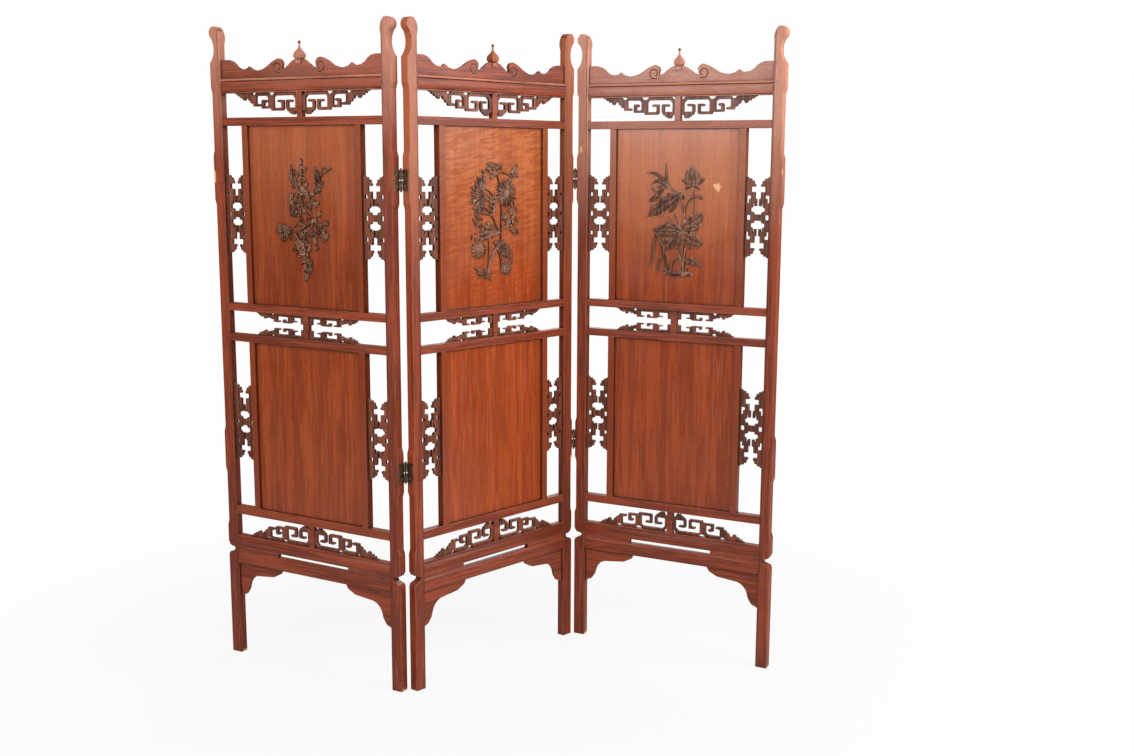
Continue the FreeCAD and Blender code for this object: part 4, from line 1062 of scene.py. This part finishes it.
def addSideFrets(bm, leaf):
    back = list(reversed(sideFretQuarter))
    outline = sideFretQuarter + [(-across, up) for across, up in back]
    outline += [(-across, -up) for across, up in sideFretQuarter] + [(across, -up) for across, up in back]
    for level in ("upper", "lower"):
        middle = sum(heightsOf("%s_%s_left_side_fret" % (leaf, level))) / 2
        for side in (-1, 1):
            quarter, centre = bentFretHoles if leaf == "right" and side > 0 else sideFretHoles
            drawn = [quarter, [(across, -up) for across, up in quarter], centre]
            holes = [[(flip * across, up) for across, up in hole] for hole in drawn for flip in (-1, 1)]
            cutBoard(bm, outline, holes, fretLook["sideCorner"],
                     drawingPlace(side * fretLook["sideMiddle"], middle, 1, 1))


def finishFrets(bm, leaf, part, replaced):
    inner = (woods[leaf]["rail"], woods[leaf]["fret"])
    piece = addPiece(leaf + part, bm, leaf, inner, smooth=False)
    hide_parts(*[leaf + "_" + node for node in replaced])


sideFretNodes = [level + side + "_side_fret" for level in ("upper_", "lower_") for side in ("left", "right")]
for leaf in leafTurns:
    for part in latticeLooks:
        bm = bmesh.new()
        addLattice(bm, leaf, part)
        finishFrets(bm, leaf, part.title() + "Lattice", [part + "_lattice"])
    bm = bmesh.new()
    addSideFrets(bm, leaf)
    finishFrets(bm, leaf, "SideFrets", sideFretNodes)
print("frets cut")

# Crest boards: a merged copy of the solid, its edges softened and a spiral cut into each volute
crestLook = {"edge": 0.0011, "groove": 1.5, "across": 74.0, "up": 26.0, "start": 16.0, "end": 8.5,
             "tightening": 0.7, "from": -125, "sweep": 375, "steps": 40, "faceDepth": 5.0}


def mergedCopy(node):
    bm = bmesh.new()
    bm.from_mesh(nodes[node].data)
    bmesh.ops.remove_doubles(bm, verts=bm.verts, dist=weldReach)
    bmesh.ops.dissolve_limit(bm, angle_limit=math.radians(flatAngle), verts=bm.verts, edges=bm.edges)
    return bm


def spiralCutter(side, level, face):
    # the groove runs from the foot of the volute round its outer side and back over the top
    loop = []
    for index in range(crestLook["steps"] + 1):
        share = index / crestLook["steps"]
        angle = math.radians(crestLook["from"] + crestLook["sweep"] * share)
        shrunk = share ** crestLook["tightening"]
        radius = crestLook["start"] + (crestLook["end"] - crestLook["start"]) * shrunk
        across = crestLook["across"] + radius * math.cos(angle)
        loop.append((side * across, face, level + crestLook["up"] + radius * math.sin(angle), 1))
    cutter = curveSolid([loop], False, dimensions="3D", bevel_depth=crestLook["groove"],
                        bevel_resolution=1, use_fill_caps=True)
    closeSeams(cutter, 0.001)
    return cutter


def addCrest(leaf):
    bm = mergedCopy(leaf + "_crest_board")
    sharp = [edge for edge in bm.edges if edge.calc_face_angle(0) > math.radians(softAngle)]
    roundEdges(bm, sharp, crestLook["edge"])
    board = meshObject("crestBlank", bm)
    board.data.materials.append(woods[leaf]["rail"])
    level = heightsOf(leaf + "_crest_board")[0]
    cutters = []
    for side in (-1, 1):
        for face in (-crestLook["faceDepth"], crestLook["faceDepth"]):
            cutter = spiralCutter(side, level, face)
            toMetres(cutter)
            bmesh.ops.transform(cutter, matrix=leafPlace(leaf), verts=cutter.verts)
            cutters.append(meshObject("crestCutter", cutter))
            cutters[-1].data.materials.append(woods[leaf]["cut"])
            cut = board.modifiers.new("Cut", "BOOLEAN")
            cut.operation = "DIFFERENCE"
            cut.solver = "EXACT"
            cut.material_mode = "TRANSFER"
            cut.object = cutters[-1]
    bpy.context.view_layer.update()
    seen = board.evaluated_get(bpy.context.evaluated_depsgraph_get())
    result = bmesh.new()
    result.from_mesh(seen.to_mesh())
    for extra in cutters + [board]:
        bpy.data.objects.remove(extra)
    inner = (woods[leaf]["rail"], woods[leaf]["cut"])
    piece = addPiece(leaf + "CrestBoard", result, leaf, inner, smooth=False, placed=True)
    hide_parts(leaf + "_crest_board")
    cutFaces = sum(face.material_index for face in piece.data.polygons)
    print(piece.name, len(piece.data.polygons), "faces,", cutFaces, "in the grooves")


for leaf in leafTurns:
    addCrest(leaf)

# Top rails: a convex face between sunk quirks, under a crown fillet that tilts up to the light
railFace = [
    (9.0, 0), (9.0, 2.6), (8.0, 3.2), (10.2, 4.6), (11.4, 9), (12.0, 15), (12.0, 21), (11.5, 26),
    (10.4, 30.2), (8.2, 31.4), (11.4, 32.6), (10.9, 35), (8.8, 39),
]
finialBall = 4.2
for leaf in leafTurns:
    bm = bmesh.new()
    foot = heightsOf(leaf + "_top_rail")[0]
    half = bars["rail"][0]
    front = [bm.verts.new((-half, -depth, foot + up)) for depth, up in railFace]
    back = [bm.verts.new((-half, depth, foot + up)) for depth, up in reversed(railFace)]
    bm.faces.new(front + back)
    swept = bmesh.ops.extrude_face_region(bm, geom=bm.faces[:])["geom"]
    moved = [item for item in swept if isinstance(item, bmesh.types.BMVert)]
    bmesh.ops.translate(bm, verts=moved, vec=(2 * half, 0, 0))
    piece = addPiece(leaf + "TopRail", bm, leaf, woods[leaf]["rail"], smooth=False)
    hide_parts(leaf + "_top_rail")

    # a dark ball on the tip of the finial
    tip = heightsOf(leaf + "_finial")[1]
    ball = bmesh.new()
    bmesh.ops.create_uvsphere(ball, u_segments=14, v_segments=10, radius=finialBall)
    bmesh.ops.translate(ball, verts=ball.verts, vec=(0, 0, tip - finialBall))
    addPiece(leaf + "FinialBall", ball, leaf, woods[leaf]["fret"])

# Hinge trim: acorn tips on the pins and a slotted screw on every plate
hingeLook = {"halfHeight": 27, "tipRadius": 2.7, "tipStretch": 1.15, "pinReach": 28.5, "screwRadius": 2.7,
             "headShare": 0.72, "screwRise": 0.7, "slot": 0.38, "slotDepth": 0.45, "plateFace": 313.0,
             "plateMiddle": 1.0, "screwLift": 14.25, "screwTurn": 3.1}
hingeSides = {"left": [(1, True)], "middle": [(-1, True), (1, False)], "right": [(-1, False)]}


def hingeMiddles():
    # the plates' node runs from the foot of the lower hinge to the top of the upper one
    foot, top = heightsOf("middle_hinge_plates")
    return foot + hingeLook["halfHeight"], top - hingeLook["halfHeight"]


def addTips():
    bm = bmesh.new()
    for joint in frame["joints"]:
        across, depth, _ = joint["pos_m"]
        for middle in hingeMiddles():
            for end in (-1, 1):
                radius, level = hingeLook["tipRadius"], middle + end * hingeLook["pinReach"]
                ball = bmesh.ops.create_uvsphere(bm, u_segments=12, v_segments=8, radius=radius)["verts"]
                for vert in ball:
                    vert.co.z = vert.co.z * hingeLook["tipStretch"] + level
                    vert.co.x += across / mm
                    vert.co.y += depth / mm
    toMetres(bm)
    addPiece("pinTips", bm, "middle", hingeBrass, placed=True)


def screwHead(bm, side, depth, level, turn):
    head = bmesh.new()
    bmesh.ops.create_cone(head, cap_ends=True, segments=14, radius1=hingeLook["screwRadius"],
                          radius2=hingeLook["screwRadius"] * hingeLook["headShare"],
                          depth=hingeLook["screwRise"] * 2)
    for offset in (-hingeLook["slot"], hingeLook["slot"]):
        bmesh.ops.bisect_plane(head, geom=head.verts[:] + head.edges[:] + head.faces[:],
                               plane_co=(offset, 0, 0), plane_no=(1, 0, 0))
    for face in head.faces:
        centre = face.calc_center_median()
        # the strip between the two cuts on the head's flat top
        if face.normal.z > 0.9 and abs(centre.x) < hingeLook["slot"]:
            slot = bmesh.ops.extrude_discrete_faces(head, faces=[face])["faces"]
            for vert in slot[0].verts:
                vert.co.z -= hingeLook["slotDepth"]
            break
    outwards = Matrix.Rotation(side * math.pi / 2, 4, "Y") @ Matrix.Rotation(turn, 4, "Z")
    place = Matrix.Translation((side * hingeLook["plateFace"], depth, level)) @ outwards
    bmesh.ops.transform(head, matrix=place, verts=head.verts)
    join(bm, head)


def addScrews(leaf):
    bm = bmesh.new()
    for side, rear in hingeSides[leaf]:
        depth = hingeLook["plateMiddle"] if rear else -hingeLook["plateMiddle"]
        for middle in hingeMiddles():
            for lift in (-hingeLook["screwLift"], hingeLook["screwLift"]):
                screwHead(bm, side, depth, middle + lift, dice.uniform(0, hingeLook["screwTurn"]))
    addPiece(leaf + "Screws", bm, leaf, hingeBrass, smooth=False)


addTips()
for leaf in leafTurns:
    addScrews(leaf)
print("crests and hinges finished")

# Stage, light and camera
cameraPlace = {
    "position": (0.2002, -3.5854, 1.4464), "pitch": 9.608, "roll": 0.308,
    "focalPixels": 1284.8, "imageWidth": 1134, "sensorWidth": 36,
}
# a lamp's place, width in metres and power in watts
lampLooks = {
    "leftSoftbox": ((-2.15, -2.3, 2.14), 0.95, 57), "rightSoftbox": ((2.9, -1.1, 2.35), 1.5, 118),
    "frontSoftbox": ((0.3, -3.0, 3.3), 1.3, 62), "backSoftbox": ((0.4, 3.2, 2.6), 2.0, 46),
}
lampTarget = Vector((0, 0, 0.95))
floorLook = {"size": 24.0, "colour": (0.50, 0.50, 0.50, 1), "rough": 0.9, "glow": (0.5, 2.3, 0.90, 1.0),
             "worldStrength": 0.20}


def makeFloor():
    bm = bmesh.new()
    bmesh.ops.create_grid(bm, x_segments=1, y_segments=1, size=floorLook["size"] / 2)
    floor = meshObject("studioFloor", bm)
    material, tree, shader = newMaterial("studioFloor")
    feed(tree, floorLook["colour"], shader.inputs["Base Color"])
    feed(tree, floorLook["rough"], shader.inputs["Roughness"])
    # the floor glows white to the camera, but for a share near the screen that keeps the shadows
    away = addNode(tree, "VectorMath", {0: addNode(tree, "TexCoord").outputs["Object"]}, operation="LENGTH")
    glowShare = mapped(tree, away.outputs["Value"], *floorLook["glow"])
    share = times(tree, addNode(tree, "LightPath").outputs["Is Camera Ray"], glowShare)
    glow = addNode(tree, "Emission").outputs[0]
    mix = addNode(tree, "MixShader", {0: share, 1: shader.outputs[0], 2: glow})
    feed(tree, mix.outputs[0], tree.nodes["Material Output"].inputs["Surface"])
    floor.data.materials.append(material)


def makeWorld():
    world = bpy.data.worlds.new("studio")
    bpy.context.scene.world = world
    world.use_nodes = True
    tree = world.node_tree
    inputs = tree.nodes["Background"].inputs
    seen = addNode(tree, "LightPath").outputs["Is Camera Ray"]
    feed(tree, mapped(tree, seen, 0.0, 1.0, floorLook["worldStrength"], 1.0), inputs["Strength"])
    feed(tree, (1, 1, 1, 1), inputs["Color"])


def makeLamps():
    for name, (position, width, power) in lampLooks.items():
        data = bpy.data.lights.new(name, "AREA")
        data.shape = "SQUARE"
        data.size = width
        data.energy = power
        lamp = addObject(name, data)
        lamp.location = position
        lamp.rotation_euler = (lampTarget - Vector(position)).to_track_quat("-Z", "Y").to_euler()


def makeCamera():
    data = bpy.data.cameras.new("camera")
    data.sensor_width = cameraPlace["sensorWidth"]
    data.lens = data.sensor_width * cameraPlace["focalPixels"] / cameraPlace["imageWidth"]
    camera = addObject("camera", data)
    tilt = Matrix.Rotation(math.radians(90 - cameraPlace["pitch"]), 4, "X")
    roll = Matrix.Rotation(math.radians(cameraPlace["roll"]), 4, "Z")
    camera.matrix_world = Matrix.Translation(cameraPlace["position"]) @ tilt @ roll
    bpy.context.scene.camera = camera


makeFloor()
makeWorld()
makeLamps()
makeCamera()
bpy.context.scene.view_settings.view_transform = "Standard"
print("stage made")
